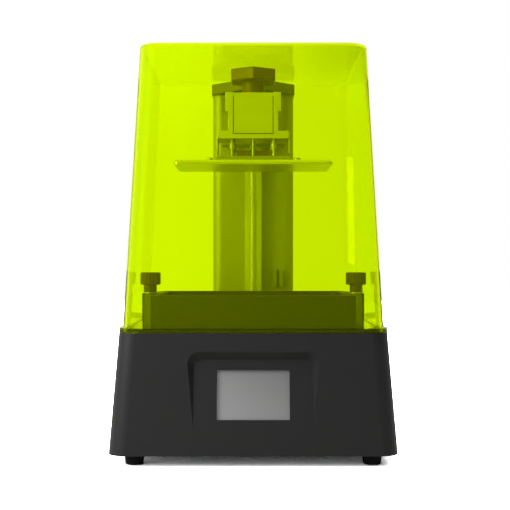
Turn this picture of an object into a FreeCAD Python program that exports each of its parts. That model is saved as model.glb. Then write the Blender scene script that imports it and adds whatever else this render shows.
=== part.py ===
import FreeCAD
import Part
import Sketcher
import os

# Desktop resin printer: square tapered base with the light engine inside, a Z column with rail and
# lead screw, a build head hanging over a resin vat, and a translucent cover that lifts off upward.
# Frame in millimetres: X to the right, Y to the back, Z up, the floor at zero under the base centre.

os.makedirs("parts", exist_ok=True)
doc = FreeCAD.newDocument("resin_printer")
sheet = doc.addObject("Spreadsheet::Sheet", "Dims")

driving = [
    # Base case and feet
    ("base_width", 290.0, "base width and depth at its lower edge"),
    ("base_height", 120.7, "base case from lower edge to top rim"),
    ("base_corner", 18.0, "vertical corner radius of the case"),
    ("shell_wall", 3.0, "case wall"),
    ("foot_height", 12.0, "rubber foot height"),
    ("foot_radius", 10.3, "foot radius at its top"),
    ("foot_tip_radius", 9.2, "foot radius at the floor"),
    ("foot_inset", 25.0, "foot centre from the lower edge of the case"),
    ("floor_thick", 2.0, "bottom plate sheet"),
    ("panel_gap", 0.4, "gap round a plate set in the case"),
    ("boss_inset", 11.5, "bottom screw boss from the lower edge of the case"),
    ("boss_radius", 8.0, "bottom screw boss"),
    ("boss_height", 20.0, "bottom screw boss length"),
    ("vent_length", 60.0, "floor vent slot length"),
    ("vent_width", 5.0, "floor vent slot width"),
    ("vent_pitch", 11.0, "floor vent slot spacing"),
    ("vent_back", 62.0, "floor vent slot centre behind the middle"),
    # Deck and cover
    ("deck_thick", 4.0, "deck plate"),
    ("ledge_width", 6.0, "ledge in the case under the deck"),
    ("ledge_thick", 3.0, "thickness of that ledge"),
    ("rib_height", 3.5, "locating rib of the cover above the deck"),
    ("rib_thick", 2.0, "locating rib thickness"),
    ("rib_gap", 0.5, "gap between rib and cover"),
    ("cover_width", 266.0, "outer cover width at the deck"),
    ("cover_height", 294.3, "cover from the rim to its top"),
    ("cover_taper", 3.06, "lean of the cover walls, degrees"),
    ("cover_corner", 22.0, "vertical corner radius of the cover"),
    ("cover_wall", 3.0, "cover wall"),
    ("cover_edge", 3.0, "radius of the top edge of the cover"),
    ("flange_height", 5.0, "foot flange of the cover"),
    ("flange_step", 2.755, "foot flange beyond the cover wall, flush with the case rim"),
    # Front recess and touchscreen
    ("recess_base", 40.0, "height of the lower edge of the recess"),
    ("recess_dip", 6.42, "lean of the recess floor behind the case wall, degrees"),
    ("recess_width", 119.0, "width of the recess floor"),
    ("recess_length", 67.2, "length of the recess floor up the slope"),
    ("recess_flare", 40.0, "flare of the recess walls, degrees"),
    ("recess_corner", 6.0, "corner radius of the recess floor"),
    ("recess_wall", 3.0, "wall behind the recess floor"),
    ("recess_reach", 15.0, "length of the flared cutter"),
    ("screen_width", 73.6, "window width"),
    ("screen_height", 49.4, "window height"),
    ("screen_up", 7.6, "window above the lower edge of the recess"),
    ("screen_border", 4.5, "glass border hidden behind the window"),
    ("screen_thick", 3.0, "touch glass with its display"),
    ("board_thick", 1.6, "circuit boards"),
    # Display window, film and vat
    ("vat_forward", 36.0, "vat and build head centre ahead of the middle"),
    ("lcd_room_x", 5.0, "film window beyond the display, at its ends"),
    ("lcd_room_y", 8.0, "film window beyond the display, front and back"),
    ("lcd_proud", 3.3, "display glass above the deck"),
    ("lcd_rebate", 1.0, "seat of the glass in the deck"),
    ("seat_gap", 0.2, "gap round a seated piece"),
    ("light_lap_x", 6.0, "lap of the display on the deck, at its ends"),
    ("light_lap_y", 9.5, "lap of the display on the deck, front and back"),
    ("film_thick", 0.3, "release film"),
    ("ring_inset_x", 2.0, "film ring inside the vat ends"),
    ("ring_inset_y", 20.0, "film ring inside the vat front and back"),
    ("ring_thick", 3.0, "film ring thickness"),
    ("ring_land", 8.0, "film ring round its window"),
    ("window_corner", 8.0, "film window corner radius"),
    ("vat_room_y", 15.0, "vat front behind the cover face"),
    ("vat_room_x", 18.0, "vat side inside the cover face"),
    ("vat_cheek", 11.0, "how much the vat narrows to its front on each side"),
    ("vat_slope", 40.0, "run of the slanted vat corners"),
    ("vat_height", 37.0, "vat above the deck"),
    ("vat_floor", 4.0, "vat floor"),
    ("vat_wall_x", 5.0, "vat wall at the ends of its front"),
    ("vat_wall_y", 6.0, "vat wall in front and behind"),
    ("tank_corner", 15.0, "resin space corner radius"),
    ("vat_rim", 1.2, "rounding of the vat rim"),
    # Vat knobs
    ("knob_inset", 2.0, "vat knob centre inside the vat side"),
    ("lug_radius", 9.0, "vat lug under the knob"),
    ("knob_radius", 11.35, "knob head"),
    ("knob_head", 13.6, "knob head height"),
    ("knob_neck_radius", 7.15, "knob neck"),
    ("knob_neck", 8.2, "knob neck height"),
    ("groove_radius", 0.9, "grip groove"),
    ("washer_thick", 1.0, "captive washer"),
    ("washer_radius", 8.0, "captive washer radius"),
    ("stud_radius", 3.0, "knob stud"),
    ("stud_grip", 7.0, "stud below the deck"),
    ("insert_radius", 7.0, "threaded insert under the deck"),
    ("insert_height", 8.0, "insert height"),
    ("run_gap", 0.05, "running clearance on a radius"),
    ("pass_gap", 0.3, "free clearance on a radius"),
    # Column, rail and screw
    ("column_width", 98.0, "column width"),
    ("column_depth", 30.0, "column depth"),
    ("column_room", 23.0, "column back from the cover face at the deck"),
    ("cap_room", 5.0, "room between the column cap and the cover"),
    ("column_corner", 10.0, "column corner radius"),
    ("column_wall", 4.0, "column wall"),
    ("port_radius", 5.5, "screw port in the column"),
    ("web_thick", 3.0, "inner web of the column"),
    ("web_side", 15.0, "inner web from the middle"),
    ("port_inset", 9.0, "screw port from the column sides"),
    ("cap_height", 12.0, "column cap"),
    ("cap_margin", 1.0, "cap beyond the column"),
    ("cap_ahead", 12.0, "front of the cap ahead of the lead screw"),
    ("cap_nose_width", 24.0, "width of the cap nose"),
    ("cheek_ahead", 4.0, "start of the slanted cap sides ahead of the column"),
    ("cap_edge", 1.0, "rounding of the cap top"),
    ("rail_width", 20.0, "rail width"),
    ("rail_height", 10.0, "rail height"),
    ("rail_waist", 2.0, "depth of the rail side groove"),
    ("rail_start", 18.0, "rail start above the deck"),
    ("rail_margin", 10.3, "rail end below the column top"),
    ("rail_pitch", 44.0, "spacing of the rail screws"),
    ("rail_end", 13.0, "first rail screw from the rail end"),
    ("rail_sink", 5.0, "depth of the rail counterbore"),
    ("screw_ahead", 26.0, "lead screw axis ahead of the column"),
    ("screw_radius", 4.0, "lead screw"),
    ("bearing_radius", 8.0, "screw bearings outside"),
    ("bearing_height", 5.0, "top screw bearing"),
    ("slider_width", 44.0, "slider width"),
    ("slider_length", 44.0, "slider length"),
    ("slider_front", 3.5, "slider body in front of the rail"),
    # Carriage and build head, heights at the resting position
    ("knob_room", 10.7, "room between the platform knob and the cover"),
    ("arm_lift", 34.7, "underside of the arm root above the plate underside"),
    ("arm_height", 56.5, "arm root height"),
    ("arm_width", 74.0, "arm root width"),
    ("arm_depth", 20.5, "arm root depth"),
    ("beam_width", 40.0, "arm beam width"),
    ("beam_lift", 43.2, "underside of the beam above the plate underside"),
    ("beam_height", 28.0, "beam height"),
    ("beam_taper", 30.0, "run of the beam shoulders"),
    ("nut_radius", 5.1, "lead nut body"),
    ("nut_length", 15.0, "lead nut body length"),
    ("nut_flange_radius", 11.0, "lead nut flange"),
    ("nut_flange", 3.5, "lead nut flange thickness"),
    ("plate_room_x", 15.25, "build plate inside the resin space, at its ends"),
    ("plate_room_y", 3.0, "build plate inside the display, front and back"),
    ("plate_thick", 5.0, "build plate thickness"),
    ("plate_lip", 2.4, "bevel of the plate top edge"),
    ("plate_corner", 4.0, "build plate corner radius"),
    ("mount_width", 80.0, "mount plate width"),
    ("mount_thick", 5.9, "mount plate thickness"),
    ("head_width", 60.0, "head block width"),
    ("head_waist", 54.0, "head block width below the shoulders"),
    ("head_depth", 45.0, "head block depth"),
    ("head_ahead", 23.0, "head block front ahead of the knob"),
    ("head_lift", 29.8, "head flange underside above the plate underside"),
    ("head_flange", 8.1, "head flange height"),
    ("head_flange_width", 76.6, "head flange width"),
    ("head_shoulder", 29.4, "shoulder height above the flange underside"),
    ("head_height", 49.8, "head block height"),
    ("face_width", 42.6, "front plate of the head block"),
    ("face_up", 5.2, "front plate above the flange underside"),
    ("face_gap", 0.6, "joint line round the front plate"),
    ("face_thick", 4.0, "front plate thickness"),
    ("nose_wall", 5.0, "head block wall ahead of the beam nose"),
    ("socket_width", 36.0, "ball socket width"),
    ("socket_depth", 26.0, "ball socket depth"),
    ("socket_height", 7.0, "ball socket height"),
    ("ball_radius", 5.0, "ball of the levelling joint"),
    ("stem_radius", 3.0, "stem of the levelling ball"),
    ("level_side", 22.6, "levelling screws from the middle"),
    ("level_pitch", 14.0, "levelling screws from the head centre"),
    ("level_radius", 2.5, "levelling screw"),
    ("level_nut_radius", 4.0, "levelling screw nut"),
    ("guard_thick", 1.0, "side guard of the levelling space"),
    ("guard_height", 24.0, "side guard height"),
    ("guard_depth", 36.0, "side guard depth"),
    ("grip_width", 47.8, "hex grip of the platform knob across its flats"),
    ("grip_height", 13.1, "hex grip height"),
    ("grip_neck_radius", 12.75, "neck under the grip"),
    ("grip_neck", 12.3, "neck height"),
    ("grip_washer", 1.5, "captive washer under the neck"),
    ("grip_stud_radius", 4.0, "stud of the platform knob"),
    ("grip_edge", 1.4, "rounding of the grip"),
    # Light engine
    ("sink_over_x", 5.0, "heat sink beyond the light window, at its ends"),
    ("sink_over_y", 5.5, "heat sink beyond the light window, front and back"),
    ("sink_base", 64.0, "underside of the heat sink plate"),
    ("sink_thick", 6.0, "heat sink plate"),
    ("fin_height", 20.0, "heat sink fin height"),
    ("fin_thick", 2.0, "heat sink fin"),
    ("fin_pitch", 8.0, "heat sink fin spacing"),
    ("fin_short", 23.0, "fin end from the heat sink end"),
    ("fin_inset", 8.0, "outer fin from the heat sink edge, at least"),
    ("post_radius", 4.0, "support post"),
    ("post_inset", 8.0, "post from the heat sink ends"),
    ("hood_wall", 1.5, "light hood wall"),
    ("hood_narrow", 10.0, "how far the hood narrows to the lamp board"),
    ("lens_inset_x", 13.0, "lens plate inside the light window, at its ends"),
    ("lens_inset_y", 3.5, "lens plate inside the light window, front and back"),
    ("led_size", 4.0, "lamp chip"),
    ("led_height", 1.2, "lamp chip height"),
    ("lens_radius", 10.0, "lens at its root"),
    ("lens_height", 6.0, "lens height"),
    ("lens_plate", 2.0, "lens plate"),
    ("lens_lift", 4.0, "lens plate above the lamp board"),
    # Drive
    ("motor_width", 42.3, "stepper motor square"),
    ("motor_height", 38.0, "stepper motor length"),
    ("motor_drop", 32.7, "motor face below the deck underside"),
    ("mount_sheet", 3.0, "motor bracket sheet"),
    ("mount_span", 60.0, "motor bracket width"),
    ("pilot_radius", 11.0, "motor pilot boss"),
    ("pilot_height", 2.0, "motor pilot height"),
    ("shaft_radius", 2.5, "motor shaft"),
    ("coupling_radius", 9.5, "shaft coupling"),
    ("coupling_length", 24.0, "shaft coupling length"),
    ("coupling_lift", 5.0, "coupling above the motor face"),
    # Rear panel and electrics
    ("panel_width", 224.0, "rear panel width"),
    ("panel_height", 74.0, "rear panel height"),
    ("panel_thick", 1.6, "rear panel sheet"),
    ("panel_level", 72.0, "rear panel centre height"),
    ("panel_lap", 6.0, "lap of the panel on the case"),
    ("fan_size", 60.0, "fan frame"),
    ("fan_thick", 15.0, "fan frame depth"),
    ("fan_side", 62.0, "fan centre left of the middle"),
    ("fan_bore", 27.5, "fan bore"),
    ("fan_hub", 12.0, "fan hub"),
    ("blade_gap", 1.0, "gap round the fan blades"),
    ("blade_chord", 11.0, "fan blade chord"),
    ("blade_thick", 1.2, "fan blade"),
    ("blade_pitch", 38.0, "fan blade angle, degrees"),
    ("fan_hole", 25.0, "fan screw from the fan centre"),
    ("guard_wire", 1.5, "fan guard wire"),
    ("inlet_side", 62.0, "mains inlet right of the middle"),
    ("inlet_width", 27.0, "mains inlet body width"),
    ("inlet_height", 20.0, "mains inlet body height"),
    ("inlet_depth", 18.0, "mains inlet depth behind the panel"),
    ("inlet_wall", 1.6, "mains inlet wall"),
    ("bezel", 3.5, "flange round an electric fitting"),
    ("bezel_thick", 1.4, "flange thickness"),
    ("switch_side", 95.0, "switch right of the middle"),
    ("switch_width", 13.4, "switch body width"),
    ("switch_height", 20.6, "switch body height"),
    ("switch_depth", 14.0, "switch depth behind the panel"),
    ("rocker_width", 10.8, "rocker width"),
    ("rocker_length", 15.2, "rocker length"),
    ("rocker_tilt", 10.0, "rocker lean when off, degrees"),
    ("rocker_pivot", 3.0, "rocker pivot behind the panel face"),
    ("pin_radius", 1.2, "rocker pin"),
    ("pin_reach", 1.1, "rocker pin beyond the rocker side"),
    ("port_side", 15.0, "stick port right of the middle"),
    ("port_width", 14.5, "stick port shell width"),
    ("port_height", 7.2, "stick port shell height"),
    ("port_depth", 14.0, "stick port depth"),
    ("port_wall", 0.6, "stick port shell"),
    ("board_length", 108.0, "main board length"),
    ("board_width", 78.0, "main board width"),
    ("board_lift", 8.0, "main board above the floor"),
    ("board_side_room", 16.0, "main board from the case side"),
    ("board_back_room", 27.0, "main board from the case back"),
    ("supply_length", 98.0, "power supply length"),
    ("supply_width", 58.0, "power supply width"),
    ("supply_height", 30.0, "power supply height"),
    ("supply_side_room", 17.0, "power supply from the case side"),
    ("supply_back_room", 39.0, "power supply from the case back"),
    # Fasteners
    ("small_screw", 1.5, "small screw radius"),
    ("small_head", 2.8, "small screw head radius"),
    ("small_head_height", 1.6, "small screw head height"),
    ("cap_screw", 2.0, "cap screw radius"),
    ("cap_screw_head", 3.6, "cap screw head radius"),
    ("cap_screw_head_height", 4.0, "cap screw head height"),
    ("hole_gap", 0.15, "hole over its screw, on the radius"),
]
derived = [
    # Sizes that follow from the ones above, each with its named clearance
    ("base_taper", "atan((base_width / 2 - cover_width / 2 - flange_step) / base_height) / 1 deg",
     "lean of the case walls, degrees"),
    ("recess_tilt", "base_taper + recess_dip", "lean of the recess floor, degrees"),
    ("foot_spread", "base_width / 2 - foot_inset", "foot centre from the middle planes"),
    ("boss_spread", "base_width / 2 - boss_inset", "bottom screw boss from the middle planes"),
    ("vat_side", "cover_width - 2 * vat_room_x", "vat width at the middle"),
    ("vat_front", "vat_side - 2 * vat_cheek", "vat width at its front and back edges"),
    ("vat_depth", "cover_width - 2 * vat_room_y - 2 * vat_forward", "vat front to back"),
    ("tank_width", "vat_front - 2 * vat_wall_x", "resin space width"),
    ("tank_depth", "vat_depth - 2 * vat_wall_y", "resin space depth"),
    ("ring_length", "vat_front - 2 * ring_inset_x", "film ring length"),
    ("ring_width", "vat_depth - 2 * ring_inset_y", "film ring width"),
    ("window_length", "ring_length - 2 * ring_land", "film window length"),
    ("window_width", "ring_width - 2 * ring_land", "film window width"),
    ("lcd_length", "window_length - 2 * lcd_room_x", "exposure display glass length"),
    ("lcd_width", "window_width - 2 * lcd_room_y", "exposure display glass width"),
    ("light_length", "lcd_length - 2 * light_lap_x", "light window length in the deck"),
    ("light_width", "lcd_width - 2 * light_lap_y", "light window width in the deck"),
    ("knob_side", "vat_side / 2 - knob_inset", "vat knob centre from the middle"),
    ("column_front", "cover_width / 2 - column_room - column_depth", "column front face behind the middle"),
    ("column_height", "cover_height - cover_wall - cap_room - cap_height", "column above the deck"),
    ("rail_length", "column_height - rail_start - rail_margin", "rail length"),
    ("screw_back", "column_front - screw_ahead", "lead screw axis behind the middle"),
    ("cap_nose", "screw_back - cap_ahead", "front of the cap behind the middle"),
    ("cap_cheek", "column_front - cheek_ahead", "start of the slanted cap sides behind the middle"),
    ("plate_width", "tank_width - 2 * plate_room_x", "build plate width"),
    ("plate_depth", "lcd_width - 2 * plate_room_y", "build plate depth"),
    ("head_forward", "vat_forward + head_ahead", "head block front ahead of the middle"),
    ("head_stack", "head_lift + head_height + grip_washer + grip_neck + grip_height",
     "platform knob top above the plate underside"),
    ("plate_base", "foot_height + base_height + cover_height - cover_wall - knob_room - head_stack",
     "build plate underside"),
    ("head_base", "plate_base + head_lift", "head flange underside"),
    ("arm_base", "plate_base + arm_lift", "underside of the arm root"),
    ("beam_base", "plate_base + beam_lift", "underside of the beam"),
    ("sink_length", "light_length + 2 * sink_over_x", "heat sink length"),
    ("sink_width", "light_width + 2 * sink_over_y", "heat sink width"),
    ("fin_length", "sink_length - 2 * fin_short", "heat sink fin length"),
    ("led_pitch_x", "(light_length - 2 * lens_inset_x) / 5", "lamp spacing along X"),
    ("led_pitch_y", "(light_width - 2 * lens_inset_y) / 3", "lamp spacing along Y"),
]
for row, (alias, size, note) in enumerate(driving, start=1):
    sheet.set(f"A{row}", note)
    sheet.set(f"B{row}", str(size))
    sheet.setAlias(f"B{row}", alias)
for row, (alias, rule, note) in enumerate(derived, start=len(driving) + 1):
    sheet.set(f"A{row}", note)
    sheet.set(f"B{row}", f"={rule}")
    sheet.setAlias(f"B{row}", alias)
doc.recompute()


def value(expression):
    result = sheet.evalExpression(expression)
    return float(getattr(result, "Value", result))


# Heights and offsets that follow from the sheet
deck_top = "(Dims.foot_height + Dims.base_height)"
deck_base = f"({deck_top} - Dims.deck_thick)"
floor_top = "(Dims.foot_height + Dims.floor_thick)"
top_width = "(Dims.base_width - 2 * Dims.base_height * tan(Dims.base_taper))"
film_base = f"({deck_top} + Dims.lcd_proud)"
vat_base = f"({film_base} + Dims.film_thick)"
vat_top = f"({deck_top} + Dims.vat_height)"
vat_y = "(-Dims.vat_forward)"
column_top = f"({deck_top} + Dims.column_height)"
column_y = "(Dims.column_front + Dims.column_depth / 2)"
rail_face = "(Dims.column_front - Dims.rail_height)"
slider_face = f"({rail_face} - Dims.slider_front)"
arm_front = f"({slider_face} - Dims.arm_depth)"
arm_top = "(Dims.arm_base + Dims.arm_height)"
plate_top = "(Dims.plate_base + Dims.plate_thick)"
mount_top = f"({plate_top} + Dims.mount_thick)"
head_top = "(Dims.head_base + Dims.head_height)"
head_front = "(-Dims.head_forward)"
head_y = "(-Dims.head_forward + Dims.head_depth / 2)"
led_board_top = "(Dims.sink_base + Dims.sink_thick + Dims.board_thick)"
motor_top = f"({deck_base} - Dims.motor_drop)"
coupling_base = f"({motor_top} + Dims.coupling_lift)"
coupling_middle = f"({coupling_base} + Dims.coupling_length / 2)"

parts = {}


def sub_part(name, thing):
    thing.Label = name
    parts[name] = thing
    return thing


def bind(thing, expressions):
    for path, expression in expressions.items():
        thing.setExpression(path, expression)


def locate(thing, at):
    for axis, expression in zip("xyz", at):
        thing.setExpression(f"Placement.Base.{axis}", expression)


def block(name, size, at):
    # A box centred on X and Y that stands on its given height
    thing = doc.addObject("Part::Box", name)
    bind(thing, {"Length": size[0], "Width": size[1], "Height": size[2]})
    locate(thing, (f"({at[0]}) - ({size[0]}) / 2", f"({at[1]}) - ({size[1]}) / 2", at[2]))
    return thing


def rod(name, radius, length, at, along="z"):
    thing = doc.addObject("Part::Cylinder", name)
    bind(thing, {"Radius": radius, "Height": length})
    turns = {"z": ((0, 0, 1), 0), "y": ((1, 0, 0), -90), "x": ((0, 1, 0), 90)}
    axis, angle = turns[along]
    thing.Placement.Rotation = FreeCAD.Rotation(FreeCAD.Vector(*axis), angle)
    locate(thing, at)
    return thing


def cone(name, lower, upper, height, at):
    thing = doc.addObject("Part::Cone", name)
    bind(thing, {"Radius1": lower, "Radius2": upper, "Height": height})
    locate(thing, at)
    return thing


def join(name, things):
    thing = doc.addObject("Part::MultiFuse", name)
    thing.Shapes = things
    thing.Refine = True
    return thing


def cut(name, base, tools):
    thing = doc.addObject("Part::Cut", name)
    thing.Base = base
    thing.Tool = tools[0] if len(tools) == 1 else join(f"{name}_tools", tools)
    thing.Refine = True
    return thing


def common(name, first, second):
    thing = doc.addObject("Part::Common", name)
    thing.Base = first
    thing.Tool = second
    return thing


def group(name, things):
    thing = doc.addObject("Part::Compound", name)
    thing.Links = things
    return thing


def new_body(name):
    return doc.addObject("PartDesign::Body", name)


def sketch_on(body, name, plane, lift="0"):
    sketch = body.newObject("Sketcher::SketchObject", name)
    role = f"{plane}_Plane"
    sketch.AttachmentSupport = [(next(f for f in body.Origin.OriginFeatures if f.Role == role), "")]
    sketch.MapMode = "FlatFace"
    sketch.setExpression("AttachmentOffset.Base.z", lift)
    return sketch


def size_constraint(sketch, constraint, label, expression):
    index = sketch.addConstraint(constraint)
    sketch.renameConstraint(index, label)
    sketch.setExpression(f"Constraints.{label}", expression)


def rounded_rectangle(sketch, width, depth, radius, centre=("0", "0")):
    # Four lines and four corner arcs, held by width, depth, radius and the centre point
    w, d, r = value(width) / 2, value(depth) / 2, value(radius)
    cx, cy = value(centre[0]), value(centre[1])
    spot = lambda x, y: FreeCAD.Vector(cx + x, cy + y, 0)
    up = FreeCAD.Vector(0, 0, 1)
    runs = [((-w + r, -d), (w - r, -d)), ((w, -d + r), (w, d - r)),
            ((w - r, d), (-w + r, d)), ((-w, d - r), (-w, -d + r))]
    corners = [((w - r, -d + r), -90), ((w - r, d - r), 0), ((-w + r, d - r), 90), ((-w + r, -d + r), 180)]
    for start, end in runs:
        sketch.addGeometry(Part.LineSegment(spot(*start), spot(*end)), False)
    for middle, angle in corners:
        first = FreeCAD.Units.Quantity(angle, "deg").getValueAs("rad").Value
        last = FreeCAD.Units.Quantity(angle + 90, "deg").getValueAs("rad").Value
        sketch.addGeometry(Part.ArcOfCircle(Part.Circle(spot(*middle), up, r), first, last), False)
    for side in range(4):
        sketch.addConstraint(Sketcher.Constraint("Tangent", side, 2, 4 + side, 1))
        sketch.addConstraint(Sketcher.Constraint("Tangent", 4 + side, 2, (side + 1) % 4, 1))
    sketch.addConstraint(Sketcher.Constraint("Horizontal", 0))
    sketch.addConstraint(Sketcher.Constraint("Horizontal", 2))
    sketch.addConstraint(Sketcher.Constraint("Vertical", 1))
    sketch.addConstraint(Sketcher.Constraint("Vertical", 3))
    for side in range(5, 8):
        sketch.addConstraint(Sketcher.Constraint("Equal", 4, side))
    size_constraint(sketch, Sketcher.Constraint("Radius", 4, r), "radius", radius)
    size_constraint(sketch, Sketcher.Constraint("DistanceX", 3, 1, 1, 2, 2 * w), "width", width)
    size_constraint(sketch, Sketcher.Constraint("DistanceY", 0, 1, 2, 2, 2 * d), "depth", depth)
    size_constraint(sketch, Sketcher.Constraint("DistanceX", -1, 1, 1, 1, cx + w), "right",
                    f"({centre[0]}) + ({width}) / 2")
    size_constraint(sketch, Sketcher.Constraint("DistanceY", -1, 1, 2, 1, cy + d), "far",
                    f"({centre[1]}) + ({depth}) / 2")


def outline(sketch, points):
    # A closed line of straight edges, each corner held to the sketch axes by its own two sizes
    spots = [FreeCAD.Vector(value(x), value(y), 0) for x, y in points]
    for index, spot in enumerate(spots):
        sketch.addGeometry(Part.LineSegment(spot, spots[(index + 1) % len(spots)]), False)
    for index in range(len(spots)):
        sketch.addConstraint(Sketcher.Constraint("Coincident", index, 2, (index + 1) % len(spots), 1))
    for index, (x, y) in enumerate(points):
        size_constraint(sketch, Sketcher.Constraint("DistanceX", -1, 1, index, 1, spots[index].x),
                        f"across_{index}", x)
        size_constraint(sketch, Sketcher.Constraint("DistanceY", -1, 1, index, 1, spots[index].y),
                        f"along_{index}", y)


def circle(sketch, radius, centre=("0", "0")):
    spot = FreeCAD.Vector(value(centre[0]), value(centre[1]), 0)
    index = sketch.addGeometry(Part.Circle(spot, FreeCAD.Vector(0, 0, 1), value(radius)), False)
    size_constraint(sketch, Sketcher.Constraint("Radius", index, value(radius)), f"radius_{index}", radius)
    size_constraint(sketch, Sketcher.Constraint("DistanceX", -1, 1, index, 3, spot.x), f"across_{index}", centre[0])
    size_constraint(sketch, Sketcher.Constraint("DistanceY", -1, 1, index, 3, spot.y), f"along_{index}", centre[1])


def feature(body, kind, name, profile, settings):
    made = body.newObject(f"PartDesign::{kind}", name)
    made.Profile = profile
    for key, setting in settings.items():
        if isinstance(setting, str) and key in ("Length", "Length2", "Angle"):
            made.setExpression(key, setting)
        else:
            setattr(made, key, setting)
    profile.Visibility = False
    body.Tip = made
    return made


def loft(body, kind, name, lower, *upper):
    return feature(body, kind, name, lower, {"Sections": [(sketch, [""]) for sketch in upper], "Ruled": True})


def pad(body, name, sketch, length, **settings):
    return feature(body, "Pad", name, sketch, {"Length": length, **settings})


def pocket(body, name, sketch, length, **settings):
    return feature(body, "Pocket", name, sketch, {"Length": length, **settings})


def round_edges(body, name, radius, chosen):
    # Fillet of the edges that the given test picks on the present tip
    doc.recompute()
    tip = body.Tip
    edges = [f"Edge{index}" for index, edge in enumerate(tip.Shape.Edges, start=1) if chosen(edge)]
    made = body.newObject("PartDesign::Fillet", name)
    made.Base = (tip, edges)
    made.setExpression("Radius", radius)
    body.Tip = made
    return made


def bevel_edges(body, name, size, chosen):
    doc.recompute()
    tip = body.Tip
    edges = [f"Edge{index}" for index, edge in enumerate(tip.Shape.Edges, start=1) if chosen(edge)]
    made = body.newObject("PartDesign::Chamfer", name)
    made.Base = (tip, edges)
    made.setExpression("Size", size)
    body.Tip = made
    return made


def at_height(height):
    level = value(height)
    return lambda edge: abs(edge.BoundBox.ZMin - level) < 0.01 and abs(edge.BoundBox.ZMax - level) < 0.01


def rounded_slab(name, width, depth, radius, height, at):
    # Rounded plate standing on its given height, centred on the given point
    body = new_body(name)
    sketch = sketch_on(body, f"{name}_outline", "XY")
    rounded_rectangle(sketch, width, depth, radius)
    pad(body, f"{name}_pad", sketch, height)
    locate(body, at)
    return body


corners = [(1, 1), (-1, 1), (-1, -1), (1, -1)]


def screw(name, radius, head_radius, head_height, length, at, down=True):
    # Plain headed screw whose head seat is at the given point
    x, y, z = at
    low = f"({z}) - ({length})" if down else z
    head = z if down else f"({z}) - ({head_height})"
    shank = rod(f"{name}_shank", radius, length, (x, y, low))
    top = rod(f"{name}_head", head_radius, head_height, (x, y, head))
    return join(name, [shank, top])


def in_frame(thing, angle, y, z):
    # Leans a finished piece with its wall: turned about X and set at a point of the middle plane
    thing.Placement = FreeCAD.Placement(FreeCAD.Vector(), FreeCAD.Rotation(FreeCAD.Vector(1, 0, 0), value(angle)))
    thing.setExpression("Placement.Rotation.Angle", angle)
    locate(thing, ("0", y, z))
    return thing


def on_rear(thing):
    y = "Dims.base_width / 2 - (Dims.panel_level - Dims.foot_height) * tan(Dims.base_taper)"
    return in_frame(thing, "Dims.base_taper", y, "Dims.panel_level")


def on_recess(thing):
    y = "(Dims.recess_base - Dims.foot_height) * tan(Dims.base_taper) - Dims.base_width / 2"
    thing.Placement = FreeCAD.Placement(
        FreeCAD.Vector(), FreeCAD.Rotation(FreeCAD.Vector(-1, 0, 0), value("Dims.recess_tilt")))
    thing.setExpression("Placement.Rotation.Angle", "Dims.recess_tilt")
    locate(thing, ("0", y, "Dims.recess_base"))
    return thing


# Base case: tapered shell with the deck seat, the wedge recess in front and the panel opening behind
case = new_body("case_body")
case_low = sketch_on(case, "case_low", "XY", "Dims.foot_height")
rounded_rectangle(case_low, "Dims.base_width", "Dims.base_width", "Dims.base_corner")
case_high = sketch_on(case, "case_high", "XY", deck_top)
rounded_rectangle(case_high, top_width, top_width, "Dims.base_corner")
loft(case, "AdditiveLoft", "case_outside", case_low, case_high)
doc.recompute()
case_solid = doc.addObject("PartDesign::Body", "case_solid")
solid_low = sketch_on(case_solid, "solid_low", "XY", "Dims.foot_height")
rounded_rectangle(solid_low, "Dims.base_width", "Dims.base_width", "Dims.base_corner")
solid_high = sketch_on(case_solid, "solid_high", "XY", deck_top)
rounded_rectangle(solid_high, top_width, top_width, "Dims.base_corner")
loft(case_solid, "AdditiveLoft", "case_limit", solid_low, solid_high)

inner_corner = "(Dims.base_corner - Dims.shell_wall)"
hollow_top = f"({deck_base} - Dims.ledge_thick)"
hollow_width = f"(Dims.base_width - 2 * Dims.shell_wall - 2 * ({hollow_top} - Dims.foot_height) * tan(Dims.base_taper))"
seat_width = f"({top_width} - 2 * Dims.shell_wall)"
hollow_low = sketch_on(case, "hollow_low", "XY", "Dims.foot_height")
rounded_rectangle(hollow_low, "Dims.base_width - 2 * Dims.shell_wall", "Dims.base_width - 2 * Dims.shell_wall",
                  inner_corner)
hollow_high = sketch_on(case, "hollow_high", "XY", hollow_top)
rounded_rectangle(hollow_high, hollow_width, hollow_width, inner_corner)
loft(case, "SubtractiveLoft", "case_hollow", hollow_low, hollow_high)
ledge = sketch_on(case, "ledge_opening", "XY", deck_top)
rounded_rectangle(ledge, f"{seat_width} - 2 * Dims.ledge_width", f"{seat_width} - 2 * Dims.ledge_width",
                  f"{inner_corner} - Dims.ledge_width")
pocket(case, "ledge_cut", ledge, "Dims.deck_thick + Dims.ledge_thick + 1")
seat = sketch_on(case, "deck_seat", "XY", deck_top)
rounded_rectangle(seat, seat_width, seat_width, inner_corner)
pocket(case, "deck_seat_cut", seat, "Dims.deck_thick")


def flared_recess(name, margin):
    # Flared cutter standing on the recess floor, or its larger twin that makes the wall behind it
    body = new_body(name)
    run = "Dims.recess_reach * tan(Dims.recess_flare)"
    length = "Dims.recess_length + Dims.recess_reach"
    middle = ("0", "(Dims.recess_length - Dims.recess_reach) / 2")
    floor = sketch_on(body, f"{name}_floor", "XZ", f"-({margin})")
    rounded_rectangle(floor, f"Dims.recess_width + 2 * ({margin})", f"{length} + 2 * ({margin})",
                      f"Dims.recess_corner + {margin}", middle)
    mouth = sketch_on(body, f"{name}_mouth", "XZ", f"Dims.recess_reach - ({margin})")
    rounded_rectangle(mouth, f"Dims.recess_width + 2 * ({margin}) + 2 * {run}",
                      f"{length} + 2 * ({margin}) + 2 * {run}", f"Dims.recess_corner + {margin} + {run}", middle)
    loft(body, "AdditiveLoft", f"{name}_flare", floor, mouth)
    return on_recess(body)


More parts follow.
